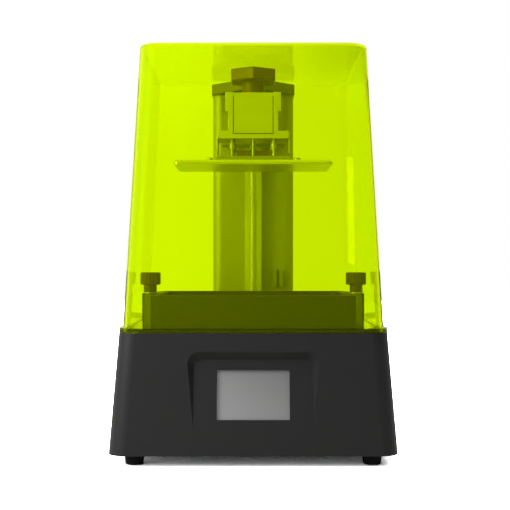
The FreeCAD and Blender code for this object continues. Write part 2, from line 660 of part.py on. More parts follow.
recess_tool = flared_recess("recess_tool", "0")
recess_back = common("recess_back", case_solid, flared_recess("recess_twin", "Dims.recess_wall"))
screen_middle = "(Dims.screen_up + Dims.screen_height / 2)"


def on_screen(name, width, height, thick, depth):
    # Plate parallel to the recess floor, its face the given depth behind it
    plate = block(f"{name}_plate", (width, thick, height),
                  ("0", f"({depth}) + ({thick}) / 2", f"{screen_middle} - ({height}) / 2"))
    return on_recess(group(name, [plate]))


window_cut = on_screen("window_cut", "Dims.screen_width", "Dims.screen_height", "Dims.recess_reach",
                       "Dims.recess_wall / 2 - Dims.recess_reach / 2")
bosses = [rod(f"boss_{i}", "Dims.boss_radius", "Dims.boss_height",
              (f"{sx} * Dims.boss_spread", f"{sy} * Dims.boss_spread", floor_top))
          for i, (sx, sy) in enumerate(corners)]
boss_holes = [rod(f"boss_hole_{i}", "Dims.small_screw + Dims.hole_gap", "Dims.boss_height - 4",
                  (f"{sx} * Dims.boss_spread", f"{sy} * Dims.boss_spread", floor_top))
              for i, (sx, sy) in enumerate(corners)]
boss_set = common("boss_set", join("boss_rods", bosses), case_solid)
panel_opening = on_rear(join("panel_opening", [
    block("opening_through", ("Dims.panel_width - 2 * Dims.panel_lap", "12 * Dims.shell_wall",
                              "Dims.panel_height - 2 * Dims.panel_lap"),
          ("0", "-2 * Dims.shell_wall", "Dims.panel_lap - Dims.panel_height / 2")),
    block("opening_rebate", ("Dims.panel_width + 2 * Dims.panel_gap", "2 * Dims.shell_wall",
                             "Dims.panel_height + 2 * Dims.panel_gap"),
          ("0", "Dims.shell_wall - Dims.panel_thick", "-Dims.panel_height / 2 - Dims.panel_gap"))]))
case_walls = join("case_walls", [case, recess_back, boss_set])
panel_spots = [(sx, sz) for sx in (-1, 1) for sz in (-1, 1)]
panel_x = "(Dims.panel_width / 2 - Dims.panel_lap / 2)"
panel_z = "(Dims.panel_height / 2 - Dims.panel_lap / 2)"
panel_screw_holes = on_rear(group("panel_screw_holes", [
    rod(f"panel_hole_{i}", "Dims.small_screw + Dims.hole_gap", "8", (f"{sx} * {panel_x}", "-6", f"{sz} * {panel_z}"),
        "y") for i, (sx, sz) in enumerate(panel_spots)]))
case_cut = cut("case_cut", case_walls, [recess_tool, window_cut, panel_opening, panel_screw_holes] + boss_holes)
sub_part("base_housing", case_cut)

# Floor of the base and the four rubber feet
floor_width = "(Dims.base_width - 2 * Dims.shell_wall - 2 * Dims.floor_thick * tan(Dims.base_taper) - 2 * Dims.panel_gap)"
floor_slab = rounded_slab("floor_slab", floor_width, floor_width, f"{inner_corner} - Dims.panel_gap",
                          "Dims.floor_thick", ("0", "0", "Dims.foot_height"))
vents = [block(f"vent_{side}_{i}", ("Dims.vent_length", "Dims.vent_width", "3 * Dims.floor_thick"),
               (f"{side} * Dims.vent_length * 0.75", f"{i} * Dims.vent_pitch - Dims.vent_back",
                "Dims.foot_height - Dims.floor_thick"))
         for side in (-1, 1) for i in range(6)]
floor_holes = [rod(f"floor_hole_{i}", "Dims.small_screw + Dims.hole_gap", "4 * Dims.floor_thick",
                   (f"{sx} * Dims.boss_spread", f"{sy} * Dims.boss_spread", "Dims.foot_height - Dims.floor_thick"))
               for i, (sx, sy) in enumerate(corners)]
sub_part("bottom_plate", cut("floor_cut", floor_slab, vents + floor_holes))
bottom_screws = group("bottom_screw_group", [
    screw(f"bottom_screw_{i}", "Dims.small_screw", "Dims.small_head", "Dims.small_head_height", "12",
          (f"{sx} * Dims.boss_spread", f"{sy} * Dims.boss_spread", "Dims.foot_height"), down=False)
    for i, (sx, sy) in enumerate(corners)])
for name, sx, sy in (("foot_front_left", -1, -1), ("foot_front_right", 1, -1),
                     ("foot_rear_left", -1, 1), ("foot_rear_right", 1, 1)):
    foot = new_body(f"{name}_body")
    half = sketch_on(foot, f"{name}_half", "XZ")
    outline(half, [("0", "0"), ("Dims.foot_tip_radius - 1", "0"), ("Dims.foot_tip_radius", "1"),
                   ("Dims.foot_radius", "Dims.foot_height"), ("0", "Dims.foot_height")])
    turn = foot.newObject("PartDesign::Revolution", f"{name}_turn")
    turn.Profile = half
    turn.ReferenceAxis = (half, ["V_Axis"])
    turn.Angle = 360
    foot.Tip = turn
    locate(foot, (f"{sx} * Dims.foot_spread", f"{sy} * Dims.foot_spread", "0"))
    sub_part(name, foot)

# Deck with the seat of the exposure display, its light window and the rib that locates the cover
deck_width = f"({seat_width} - 2 * Dims.panel_gap)"
deck_slab = rounded_slab("deck_slab", deck_width, deck_width, f"{inner_corner} - Dims.panel_gap", "Dims.deck_thick",
                         ("0", "0", deck_base))
rib_width = "(Dims.cover_width - 2 * Dims.cover_wall - 2 * Dims.rib_gap)"
rib_corner = "(Dims.cover_corner - Dims.cover_wall - Dims.rib_gap)"
rib = cut("rib_ring", rounded_slab("rib_outer", rib_width, rib_width, rib_corner, "Dims.rib_height",
                                   ("0", "0", deck_top)),
          [rounded_slab("rib_inner", f"{rib_width} - 2 * Dims.rib_thick", f"{rib_width} - 2 * Dims.rib_thick",
                        f"{rib_corner} - Dims.rib_thick", "2 * Dims.rib_height", ("0", "0", deck_top))])
port_x = "(Dims.column_width / 2 - Dims.port_inset)"
port_y = "(Dims.column_depth / 2 - Dims.port_inset)"
mount_hole = "(Dims.mount_span / 2 - 6)"
deck_tools = [
    block("lcd_seat", ("Dims.lcd_length + 2 * Dims.seat_gap", "Dims.lcd_width + 2 * Dims.seat_gap",
                       "2 * Dims.lcd_rebate"), ("0", vat_y, f"{deck_top} - Dims.lcd_rebate")),
    block("light_window", ("Dims.light_length", "Dims.light_width", "3 * Dims.deck_thick"),
          ("0", vat_y, f"{deck_base} - Dims.deck_thick")),
    rod("deck_bearing_bore", "Dims.bearing_radius + Dims.run_gap", "3 * Dims.deck_thick",
        ("0", "Dims.screw_back", f"{deck_base} - Dims.deck_thick"))]
deck_tools += [rod(f"deck_knob_hole_{i}", "Dims.stud_radius + Dims.pass_gap", "3 * Dims.deck_thick",
                   (f"{side} * Dims.knob_side", vat_y, f"{deck_base} - Dims.deck_thick"))
               for i, side in enumerate((-1, 1))]
deck_tools += [rod(f"deck_column_hole_{i}", "Dims.cap_screw + Dims.hole_gap", "3 * Dims.deck_thick",
                   (f"{sx} * {port_x}", f"{column_y} + {sy} * {port_y}", f"{deck_base} - Dims.deck_thick"))
               for i, (sx, sy) in enumerate(corners)]
sub_part("top_deck", cut("deck_cut", join("deck_with_rib", [deck_slab, rib]), deck_tools))
sub_part("lcd_panel", block("lcd_glass", ("Dims.lcd_length", "Dims.lcd_width", "Dims.lcd_rebate + Dims.lcd_proud"),
                            ("0", vat_y, f"{deck_top} - Dims.lcd_rebate")))

# Touchscreen behind the window of the recess, with its driver board
glass_width = "(Dims.screen_width + 2 * Dims.screen_border)"
glass_height = "(Dims.screen_height + 2 * Dims.screen_border)"
touch_glass = on_screen("touch_glass", glass_width, glass_height, "Dims.screen_thick", "Dims.recess_wall")
touch_board = on_screen("touch_board", f"{glass_width} - 4", f"{glass_height} - 4", "Dims.board_thick + 0.5",
                        "Dims.recess_wall + Dims.screen_thick - 0.5")
sub_part("touch_screen", join("touch_module", [touch_glass, touch_board]))

# Light engine under the display: finned heat sink on posts, lamp board, lens plate and hood
sink_plate = block("sink_plate", ("Dims.sink_length", "Dims.sink_width", "Dims.sink_thick"),
                   ("0", vat_y, "Dims.sink_base"))
fin_reach = int(value("(Dims.sink_width / 2 - Dims.fin_inset) / Dims.fin_pitch"))
fins = [block(f"fin_{i}", ("Dims.fin_length", "Dims.fin_thick", "Dims.fin_height + 1"),
              ("0", f"{vat_y} + {i} * Dims.fin_pitch", "Dims.sink_base - Dims.fin_height"))
        for i in range(-fin_reach, fin_reach + 1)]
sub_part("heat_sink", join("sink_with_fins", [sink_plate] + fins))
sink_posts = group("sink_post_group", [
    rod(f"sink_post_{i}", "Dims.post_radius", f"Dims.sink_base - {floor_top}",
        (f"{sx} * (Dims.sink_length / 2 - Dims.post_inset)",
         f"{vat_y} + {sy} * (Dims.sink_width / 2 - Dims.post_inset)", floor_top))
    for i, (sx, sy) in enumerate(corners)])
lamp_board = block("lamp_board", ("Dims.sink_length", "Dims.sink_width", "Dims.board_thick"),
                   ("0", vat_y, "Dims.sink_base + Dims.sink_thick"))
lamp_spots = [(i, j) for i in (-2, -1, 0, 1, 2) for j in (-1, 0, 1)]
lamps = [block(f"lamp_{k}", ("Dims.led_size", "Dims.led_size", "Dims.led_height + 0.5"),
               (f"{i} * Dims.led_pitch_x", f"{vat_y} + {j} * Dims.led_pitch_y", f"{led_board_top} - 0.5"))
         for k, (i, j) in enumerate(lamp_spots)]
sub_part("led_board", join("lamp_board_joined", [lamp_board] + lamps))
lens_base = f"({led_board_top} + Dims.lens_lift)"
lens_length = "(5 * Dims.led_pitch_x)"
lens_width = "(3 * Dims.led_pitch_y)"
lens_pieces = [block("lens_sheet", (lens_length, lens_width, "Dims.lens_plate"), ("0", vat_y, lens_base))]
lens_pieces += [cone(f"lens_{k}", "Dims.lens_radius", "Dims.lens_radius / 2", "Dims.lens_height",
                     (f"{i} * Dims.led_pitch_x", f"{vat_y} + {j} * Dims.led_pitch_y", f"{lens_base} + Dims.lens_plate"))
                for k, (i, j) in enumerate(lamp_spots)]
lens_pieces += [block(f"lens_leg_{k}", ("4", "4", "Dims.lens_lift + 0.5"),
                      (f"{sx} * ({lens_length} / 2 - 2)", f"{vat_y} + {sy} * ({lens_width} / 2 - 2)", led_board_top))
                for k, (sx, sy) in enumerate(corners)]
sub_part("lens_plate", join("lens_array", lens_pieces))
hood = new_body("hood_body")
hood_sizes = {"low": ("Dims.light_length + 4 - Dims.hood_narrow", "Dims.light_width + 8", led_board_top),
              "high": ("Dims.light_length + 6", "Dims.light_width + 8", deck_base)}
for kind, sign, name in (("AdditiveLoft", "0", "outside"), ("SubtractiveLoft", "2 * Dims.hood_wall", "inside")):
    rings = []
    for end in ("low", "high"):
        long_side, short_side, lift = hood_sizes[end]
        ring = sketch_on(hood, f"hood_{name}_{end}", "XY", lift)
        rounded_rectangle(ring, f"{long_side} - {sign}", f"{short_side} - {sign}", "3", ("0", vat_y))
        rings.append(ring)
    loft(hood, kind, f"hood_{name}", rings[0], rings[1])
sub_part("light_hood", hood)

# Lift drive: motor on its bracket under the deck, coupling, screw, bearings
plate_level = f"({motor_top})"
bracket_sheet = block("bracket_sheet", ("Dims.mount_span", "Dims.mount_span", "Dims.mount_sheet"),
                      ("0", "Dims.screw_back", plate_level))
bracket_posts = [rod(f"bracket_post_{i}", "Dims.post_radius", "Dims.motor_drop - Dims.mount_sheet + 0.5",
                     (f"{sx} * {mount_hole}", f"Dims.screw_back + {sy} * {mount_hole}",
                      f"{plate_level} + Dims.mount_sheet - 0.5")) for i, (sx, sy) in enumerate(corners)]
bracket_bore = rod("bracket_bore", "Dims.pilot_radius + Dims.seat_gap", "4 * Dims.mount_sheet",
                   ("0", "Dims.screw_back", f"{plate_level} - Dims.mount_sheet"))
sub_part("motor_bracket", cut("bracket_cut", join("bracket_joined", [bracket_sheet] + bracket_posts), [bracket_bore]))
motor_case = rounded_slab("motor_case", "Dims.motor_width", "Dims.motor_width", "4", "Dims.motor_height",
                          ("0", "Dims.screw_back", f"{motor_top} - Dims.motor_height"))
motor_pilot = rod("motor_pilot", "Dims.pilot_radius", "Dims.pilot_height + 0.5",
                  ("0", "Dims.screw_back", f"{motor_top} - 0.5"))
motor_bore = rod("motor_bore", "Dims.shaft_radius + Dims.run_gap", "12",
                 ("0", "Dims.screw_back", f"{motor_top} + Dims.pilot_height - 10"))
sub_part("z_motor", cut("motor_cut", join("motor_joined", [motor_case, motor_pilot]), [motor_bore]))
shaft = rod("shaft_rod", "Dims.shaft_radius", f"{coupling_base} - {motor_top} + 8",
            ("0", "Dims.screw_back", f"{motor_top} - 6"))
coupling = rod("coupling_rod", "Dims.coupling_radius", "Dims.coupling_length", ("0", "Dims.screw_back", coupling_base))
coupling_bore = rod("coupling_bore", "Dims.screw_radius + Dims.run_gap", "Dims.coupling_length / 2 + 1",
                    ("0", "Dims.screw_back", coupling_middle))
coupling_slit = block("coupling_slit", ("2 * Dims.coupling_radius", "1", "Dims.coupling_length / 3"),
                      ("Dims.coupling_radius + 3", "Dims.screw_back", f"{coupling_base} + Dims.coupling_length * 0.75"))
sub_part("motor_coupling", cut("coupling_cut", join("coupling_joined", [coupling, shaft]), [coupling_bore, coupling_slit]))
screw_low = f"({coupling_middle} + 0.1)"
screw_high = f"({column_top} + Dims.bearing_height)"
sub_part("lead_screw", rod("screw_rod", "Dims.screw_radius", f"{screw_high} - {screw_low}",
                           ("0", "Dims.screw_back", screw_low)))
for name, low, height in (("lower_bearing", deck_base, "Dims.deck_thick"),
                          ("top_bearing", column_top, "Dims.bearing_height")):
    ring = rod(f"{name}_ring", "Dims.bearing_radius", height, ("0", "Dims.screw_back", low))
    bore = rod(f"{name}_bore", "Dims.screw_radius + Dims.run_gap", f"{height} + 2", ("0", "Dims.screw_back", f"{low} - 1"))
    sub_part(name, cut(f"{name}_cut", ring, [bore]))

# Column tube with its screw ports, prow-shaped cap and end stop
tube = new_body("tube_body")
tube_outside = sketch_on(tube, "tube_outside", "XY", deck_top)
rounded_rectangle(tube_outside, "Dims.column_width", "Dims.column_depth", "Dims.column_corner", ("0", column_y))
pad(tube, "tube_pad", tube_outside, "Dims.column_height")
tube_inside = sketch_on(tube, "tube_inside", "XY", column_top)
rounded_rectangle(tube_inside, "Dims.column_width - 2 * Dims.column_wall", "Dims.column_depth - 2 * Dims.column_wall",
                  "Dims.column_corner - Dims.column_wall", ("0", column_y))
pocket(tube, "tube_pocket", tube_inside, "Dims.column_height")
ports = [rod(f"port_{i}", "Dims.port_radius", "Dims.column_height",
             (f"{sx} * {port_x}", f"{column_y} + {sy} * {port_y}", deck_top)) for i, (sx, sy) in enumerate(corners)]
webs = [block(f"column_web_{i}", ("Dims.web_thick", "Dims.column_depth - Dims.column_wall", "Dims.column_height"),
              (f"{side} * Dims.web_side", column_y, deck_top)) for i, side in enumerate((-1, 1))]
port_holes = [rod(f"port_hole_{i}", "Dims.cap_screw + Dims.hole_gap", "24",
                  (f"{sx} * {port_x}", f"{column_y} + {sy} * {port_y}", f"{deck_top} - 1"))
              for i, (sx, sy) in enumerate(corners)]
rail_base = f"({deck_top} + Dims.rail_start)"
rail_count = int(value("(Dims.rail_length - 2 * Dims.rail_end) / Dims.rail_pitch") + 0.001) + 1
rail_spots = [f"{rail_base} + Dims.rail_end + {i} * Dims.rail_pitch" for i in range(rail_count)]
rail_wall_holes = [rod(f"wall_hole_{i}", "Dims.cap_screw + Dims.hole_gap", "Dims.column_wall + 1",
                       ("0", "Dims.column_front - 0.5", spot), "y") for i, spot in enumerate(rail_spots)]
sub_part("column", cut("column_cut", join("column_joined", [tube] + ports + webs), port_holes + rail_wall_holes))
foot_screws = group("column_screw_group", [
    screw(f"column_screw_{i}", "Dims.cap_screw", "Dims.cap_screw_head", "Dims.cap_screw_head_height",
          "Dims.deck_thick + 18", (f"{sx} * {port_x}", f"{column_y} + {sy} * {port_y}", deck_base), down=False)
    for i, (sx, sy) in enumerate(corners)])
cap = new_body("cap_body")
cap_plan = sketch_on(cap, "cap_plan", "XY", column_top)
cap_half = "(Dims.column_width / 2 + Dims.cap_margin)"
cap_back = "(Dims.column_front + Dims.column_depth + Dims.cap_margin)"
outline(cap_plan, [(cap_half, cap_back), (f"-{cap_half}", cap_back), (f"-{cap_half}", "Dims.cap_cheek"),
                   ("-Dims.cap_nose_width / 2", "Dims.cap_nose"), ("Dims.cap_nose_width / 2", "Dims.cap_nose"),
                   (cap_half, "Dims.cap_cheek")])
pad(cap, "cap_pad", cap_plan, "Dims.cap_height")
round_edges(cap, "cap_round", "Dims.cap_edge", at_height(f"{column_top} + Dims.cap_height"))
bearing_plan = sketch_on(cap, "cap_bearing", "XY", column_top)
circle(bearing_plan, "Dims.bearing_radius + Dims.run_gap", ("0", "Dims.screw_back"))
pocket(cap, "cap_bearing_cut", bearing_plan, "Dims.bearing_height + 0.5", Reversed=True)
sub_part("column_cap", cap)

# Linear rail with counterbored screws, and the slider that wraps it
rail = new_body("rail_body")
rail_plan = sketch_on(rail, "rail_plan", "XY", rail_base)
rail_half = "(Dims.rail_width / 2)"
rail_neck = "(Dims.rail_width / 2 - Dims.rail_waist)"
rail_at = lambda share: f"({rail_face} + {share} * Dims.rail_height)"
rail_side = [(rail_half, rail_at(0)), (rail_half, rail_at(0.25)), (rail_neck, rail_at(0.4)), (rail_neck, rail_at(0.5)),
             (rail_half, rail_at(0.65)), (rail_half, rail_at(1))]
outline(rail_plan, rail_side + [(f"-{x}", y) for x, y in reversed(rail_side)])
pad(rail, "rail_pad", rail_plan, "Dims.rail_length")
sink = sketch_on(rail, "rail_sink", "XZ", f"-{rail_face}")
circle(sink, "Dims.cap_screw_head + 2 * Dims.hole_gap", ("0", f"{rail_base} + Dims.rail_end"))
rail_sink = pocket(rail, "rail_sink_cut", sink, "Dims.rail_sink")
through = sketch_on(rail, "rail_through", "XZ", f"-{rail_face}")
circle(through, "Dims.cap_screw + Dims.hole_gap", ("0", f"{rail_base} + Dims.rail_end"))
rail_through = pocket(rail, "rail_through_cut", through, "Dims.rail_height")
holes = rail.newObject("PartDesign::LinearPattern", "rail_holes")
holes.Originals = [rail_sink, rail_through]
holes.Direction = (rail_plan, ["N_Axis"])
holes.setExpression("Length", f"{rail_count - 1} * Dims.rail_pitch")
holes.Occurrences = rail_count
rail.Tip = holes
sub_part("linear_rail", rail)
rail_screws = group("rail_screw_group", [
    join(f"rail_screw_{i}", [
        rod(f"rail_screw_head_{i}", "Dims.cap_screw_head", "Dims.cap_screw_head_height",
            ("0", f"{rail_face} + Dims.rail_sink - Dims.cap_screw_head_height", spot), "y"),
        rod(f"rail_screw_shank_{i}", "Dims.cap_screw", "Dims.rail_height + Dims.column_wall - Dims.rail_sink",
            ("0", f"{rail_face} + Dims.rail_sink", spot), "y")])
    for i, spot in enumerate(rail_spots)])
sub_part("column_screws", group("column_fixings", [foot_screws, rail_screws]))
slider = new_body("slider_body")
slider_low = f"(Dims.arm_base + (Dims.arm_height - Dims.slider_length) / 2)"
slider_plan = sketch_on(slider, "slider_plan", "XY", slider_low)
play = "Dims.seat_gap"
slider_half = "(Dims.slider_width / 2)"
slider_back = "(Dims.column_front - 2.5)"
slider_side = [(slider_half, slider_face), (slider_half, slider_back), (f"({rail_half} + {play})", slider_back),
               (f"({rail_half} + {play})", f"{rail_at(0.65)} - {play}"), (f"({rail_neck} + {play})", f"{rail_at(0.5)} - {play}"),
               (f"({rail_neck} + {play})", f"{rail_at(0.4)} + {play}"), (f"({rail_half} + {play})", f"{rail_at(0.25)} + {play}"),
               (f"({rail_half} + {play})", f"{rail_face} - 2 * {play}")]
outline(slider_plan, slider_side + [(f"-{x}", y) for x, y in reversed(slider_side)])
pad(slider, "slider_pad", slider_plan, "Dims.slider_length")
sub_part("rail_slider", slider)

# Lift arm: root block on the slider with the lead nut in it, and the beam that carries the build head
beam = new_body("beam_body")
beam_plan = sketch_on(beam, "beam_plan", "XY", "Dims.beam_base")
nose_tip = f"({head_front} + Dims.face_thick + Dims.nose_wall + 0.5)"
beam_side = [("(Dims.arm_width / 2)", slider_face), ("(Dims.arm_width / 2)", arm_front),
             ("(Dims.beam_width / 2)", f"{arm_front} - Dims.beam_taper"), ("(Dims.beam_width / 2)", nose_tip)]
outline(beam_plan, beam_side + [(f"-{x}", y) for x, y in reversed(beam_side)])
pad(beam, "beam_pad", beam_plan, "Dims.beam_height")
root = block("arm_root", ("Dims.arm_width", "Dims.arm_depth", "Dims.arm_height"),
             ("0", f"({slider_face} + {arm_front}) / 2", "Dims.arm_base"))
flag_x = "(Dims.slider_width / 2 + 8)"
flag = block("flag_sheet", ("1", f"{slider_back} - {slider_face} - 2", "16"),
             (flag_x, f"({slider_back} + {slider_face} - 4) / 2", "Dims.arm_base + 4"))
sub_part("lift_arm", cut("arm_cut", join("arm_joined", [root, beam, flag]), [
    rod("arm_screw_bore", "Dims.screw_radius + 2 * Dims.pass_gap", "2 * Dims.arm_height",
        ("0", "Dims.screw_back", "Dims.arm_base - Dims.arm_height / 2")),
    rod("arm_nut_bore", "Dims.nut_radius + Dims.run_gap", "Dims.nut_length + 1",
        ("0", "Dims.screw_back", f"{arm_top} - Dims.nut_length"))]))
nut = join("nut_joined", [
    rod("nut_barrel", "Dims.nut_radius", "Dims.nut_length", ("0", "Dims.screw_back", f"{arm_top} - Dims.nut_length")),
    rod("nut_collar", "Dims.nut_flange_radius", "Dims.nut_flange", ("0", "Dims.screw_back", arm_top))])
sub_part("lead_nut", cut("nut_cut", nut, [
    rod("nut_bore", "Dims.screw_radius + Dims.run_gap", "3 * Dims.nut_length",
        ("0", "Dims.screw_back", f"{arm_top} - 2 * Dims.nut_length"))]))
stop_level = f"({deck_top} + Dims.rail_start + 24)"
sub_part("end_stop", cut("stop_cut", block("stop_case", ("12", "Dims.rail_height", "20"),
                                           (flag_x, f"Dims.column_front - Dims.rail_height / 2", stop_level)), [
    block("stop_slot", ("3", "Dims.rail_height", "40"),
          (flag_x, f"Dims.column_front - Dims.rail_height / 2 - 2.5", f"{stop_level} - 10"))]))

# Build head: block over the beam nose, front plate, levelling joint, mount plate and build plate
head = new_body("head_body")
head_view = sketch_on(head, "head_view", "XZ", "Dims.head_forward - Dims.head_depth")
head_side = [("(Dims.head_flange_width / 2)", "Dims.head_base"),
             ("(Dims.head_flange_width / 2)", "Dims.head_base + Dims.head_flange"),
             ("(Dims.head_waist / 2)", "Dims.head_base + Dims.head_flange"),
             ("(Dims.head_waist / 2)", "Dims.head_base + Dims.head_shoulder"),
             ("(Dims.head_width / 2)", "Dims.head_base + Dims.head_shoulder"),
             ("(Dims.head_width / 2)", head_top)]
outline(head_view, head_side + [(f"-{x}", y) for x, y in reversed(head_side)])
pad(head, "head_pad", head_view, "Dims.head_depth")
face_low = "(Dims.head_base + Dims.face_up)"
face_seat = block("face_seat", ("Dims.face_width + 2 * Dims.face_gap", "2 * Dims.face_thick", "Dims.head_height"),
                  ("0", head_front, f"{face_low} - Dims.face_gap"))
nose_room = block("nose_room", ("Dims.beam_width + 4 * Dims.seat_gap", "Dims.head_depth",
                                "Dims.beam_height + 3 * Dims.seat_gap"),
                  ("0", f"{nose_tip} - 0.5 + Dims.head_depth / 2", "Dims.beam_base"))
grip_hole = rod("grip_hole", "Dims.grip_stud_radius + Dims.run_gap", "Dims.head_height",
                ("0", vat_y, "Dims.beam_base + Dims.beam_height"))
guards = [block(f"side_guard_{i}", ("Dims.guard_thick", "Dims.guard_depth", "Dims.guard_height"),
                (f"{side} * (Dims.head_flange_width + Dims.guard_thick) / 2", head_y,
                 "Dims.head_base + Dims.head_flange - Dims.guard_height")) for i, side in enumerate((-1, 1))]
sub_part("head_block", cut("head_cut", join("head_joined", [head] + guards), [face_seat, nose_room, grip_hole]))
sub_part("head_front_plate", block("face_plate", ("Dims.face_width", "Dims.face_thick",
                                                  "Dims.head_height - Dims.face_up - Dims.face_gap"),
                                   ("0", f"{head_front} + Dims.face_thick / 2", face_low)))
level_gap = f"(Dims.head_base - {mount_top})"
level_spots = [(sx, sy) for sx, sy in corners]
level_screws = [
    join(f"level_{i}", [
        rod(f"level_rod_{i}", "Dims.level_radius", level_gap,
            (f"{sx} * Dims.level_side", f"{head_y} + {sy} * Dims.level_pitch", mount_top)),
        rod(f"level_nut_{i}", "Dims.level_nut_radius", f"{level_gap} / 3",
            (f"{sx} * Dims.level_side", f"{head_y} + {sy} * Dims.level_pitch", f"{mount_top} + {level_gap} * 0.42"))])
    for i, (sx, sy) in enumerate(level_spots)]
lock_pin = rod("lock_rod", "Dims.stem_radius / 1.7", level_gap,
               ("0", f"{head_y} - Dims.socket_depth / 2 - 4", mount_top))
sub_part("levelling_screws", group("level_group", level_screws + [lock_pin]))
ball_level = f"({mount_top} + Dims.socket_height - 1)"
ball = doc.addObject("Part::Sphere", "ball")
ball.setExpression("Radius", "Dims.ball_radius")
locate(ball, ("0", head_y, ball_level))
ball_room = doc.addObject("Part::Sphere", "ball_room")
ball_room.setExpression("Radius", "Dims.ball_radius + Dims.run_gap")
locate(ball_room, ("0", head_y, ball_level))
stem = rod("ball_stem", "Dims.stem_radius", f"Dims.head_base - {ball_level}", ("0", head_y, ball_level))
sub_part("ball_stud", join("ball_joined", [ball, stem]))
sub_part("ball_socket", cut("socket_cut", block("socket_case", ("Dims.socket_width", "Dims.socket_depth",
                                                                "Dims.socket_height"), ("0", head_y, mount_top)), [ball_room]))
sub_part("platform_mount", block("mount_sheet_metal", ("Dims.mount_width", "Dims.head_depth", "Dims.mount_thick"),
                                 ("0", head_y, plate_top)))
plate = rounded_slab("plate_body", "Dims.plate_width", "Dims.plate_depth", "Dims.plate_corner", "Dims.plate_thick",
                     ("0", vat_y, "Dims.plate_base"))
bevel_edges(plate, "plate_bevel", "Dims.plate_lip", at_height("Dims.plate_thick"))
plate_spots = [(f"{sx} * (Dims.mount_width / 2 + 7)", f"{vat_y} + {sy} * Dims.plate_depth / 4") for sx, sy in corners]
sub_part("build_plate", cut("plate_cut", plate, [
    rod(f"plate_hole_{i}", "Dims.cap_screw + Dims.hole_gap", "Dims.plate_thick", (x, y, f"{plate_top} - Dims.plate_thick * 0.7"))
    for i, (x, y) in enumerate(plate_spots)]))
sub_part("plate_screws", group("plate_screw_group", [
    screw(f"plate_screw_{i}", "Dims.cap_screw", "Dims.cap_screw_head", "Dims.cap_screw_head_height",
          "Dims.plate_thick * 0.6", (x, y, plate_top)) for i, (x, y) in enumerate(plate_spots)]))

# Platform knob: hex grip with a corner to the front, neck, stud and captive washer
grip = doc.addObject("Part::Prism", "grip_prism")
grip.Polygon = 6
bind(grip, {"Circumradius": "Dims.grip_width / 2 / cos(30)", "Height": "Dims.grip_height"})
grip.Placement.Rotation = FreeCAD.Rotation(FreeCAD.Vector(0, 0, 1), 30)
washer_top = f"({head_top} + Dims.grip_washer)"
locate(grip, ("0", vat_y, f"{washer_top} + Dims.grip_neck"))
doc.recompute()
grip_round = doc.addObject("Part::Fillet", "grip_round")
grip_round.Base = grip
edge_size = value("Dims.grip_edge")
grip_round.Edges = [(index, edge_size, edge_size) for index in range(1, len(grip.Shape.Edges) + 1)]
sub_part("platform_knob", join("grip_joined", [
    grip_round,
    rod("grip_neck_rod", "Dims.grip_neck_radius", "Dims.grip_neck + 3", ("0", vat_y, washer_top)),
    rod("grip_stud", "Dims.grip_stud_radius", f"{washer_top} - Dims.beam_base - Dims.beam_height + 1",
        ("0", vat_y, "Dims.beam_base + Dims.beam_height"))]))
sub_part("platform_washer", cut("grip_washer_cut", rod("grip_washer_disc", "Dims.grip_neck_radius", "Dims.grip_washer",
                                                       ("0", vat_y, head_top)), [
    rod("grip_washer_bore", "Dims.grip_stud_radius + Dims.run_gap", "4 * Dims.grip_washer",
        ("0", vat_y, f"{head_top} - Dims.grip_washer"))]))

# Resin vat with its lugs, tank, film window and the clamped release film
vat = new_body("vat_body")
vat_plan = sketch_on(vat, "vat_plan", "XY", deck_top)
vat_front = f"({vat_y} - Dims.vat_depth / 2)"
vat_rear = f"({vat_y} + Dims.vat_depth / 2)"
vat_right = [("Dims.vat_front / 2", vat_front), ("Dims.vat_side / 2", f"{vat_front} + Dims.vat_slope"),
             ("Dims.vat_side / 2", f"{vat_rear} - Dims.vat_slope"), ("Dims.vat_front / 2", vat_rear)]
outline(vat_plan, vat_right + [(f"-{x}", y) for x, y in reversed(vat_right)])
pad(vat, "vat_pad", vat_plan, "Dims.vat_height")
for side, name in ((-1, "left"), (1, "right")):
    lug = sketch_on(vat, f"vat_lug_{name}", "XY", deck_top)
    circle(lug, "Dims.lug_radius", (f"{side} * Dims.knob_side", vat_y))
    pad(vat, f"vat_lug_{name}_pad", lug, "Dims.vat_height")
tank_floor = f"({vat_base} + Dims.vat_floor)"
tank = sketch_on(vat, "vat_tank", "XY", vat_top)
rounded_rectangle(tank, "Dims.tank_width", "Dims.tank_depth", "Dims.tank_corner", ("0", vat_y))
pocket(vat, "vat_tank_cut", tank, f"{vat_top} - {tank_floor}")
round_edges(vat, "vat_rim_round", "Dims.vat_rim", at_height(vat_top))
film_window = sketch_on(vat, "vat_window", "XY", tank_floor)
rounded_rectangle(film_window, "Dims.window_length", "Dims.window_width", "Dims.window_corner", ("0", vat_y))
pocket(vat, "vat_window_cut", film_window, "Dims.vat_floor + 0.5")
ring_room = sketch_on(vat, "vat_ring_room", "XY", deck_top)
rounded_rectangle(ring_room, "Dims.ring_length + 2 * Dims.seat_gap", "Dims.ring_width + 2 * Dims.seat_gap",
                  "Dims.window_corner", ("0", vat_y))
pocket(vat, "vat_ring_cut", ring_room, f"{vat_base} - {deck_top}", Reversed=True)
for side, name in ((-1, "left"), (1, "right")):
    bore = sketch_on(vat, f"vat_bore_{name}", "XY", vat_top)
    circle(bore, "Dims.stud_radius + Dims.pass_gap", (f"{side} * Dims.knob_side", vat_y))
    pocket(vat, f"vat_bore_{name}_cut", bore, "Dims.vat_height")
sub_part("resin_vat", vat)
sub_part("vat_film", rounded_slab("film_sheet", "Dims.ring_length", "Dims.ring_width", "Dims.window_corner",
                                  "Dims.film_thick", ("0", vat_y, film_base)))
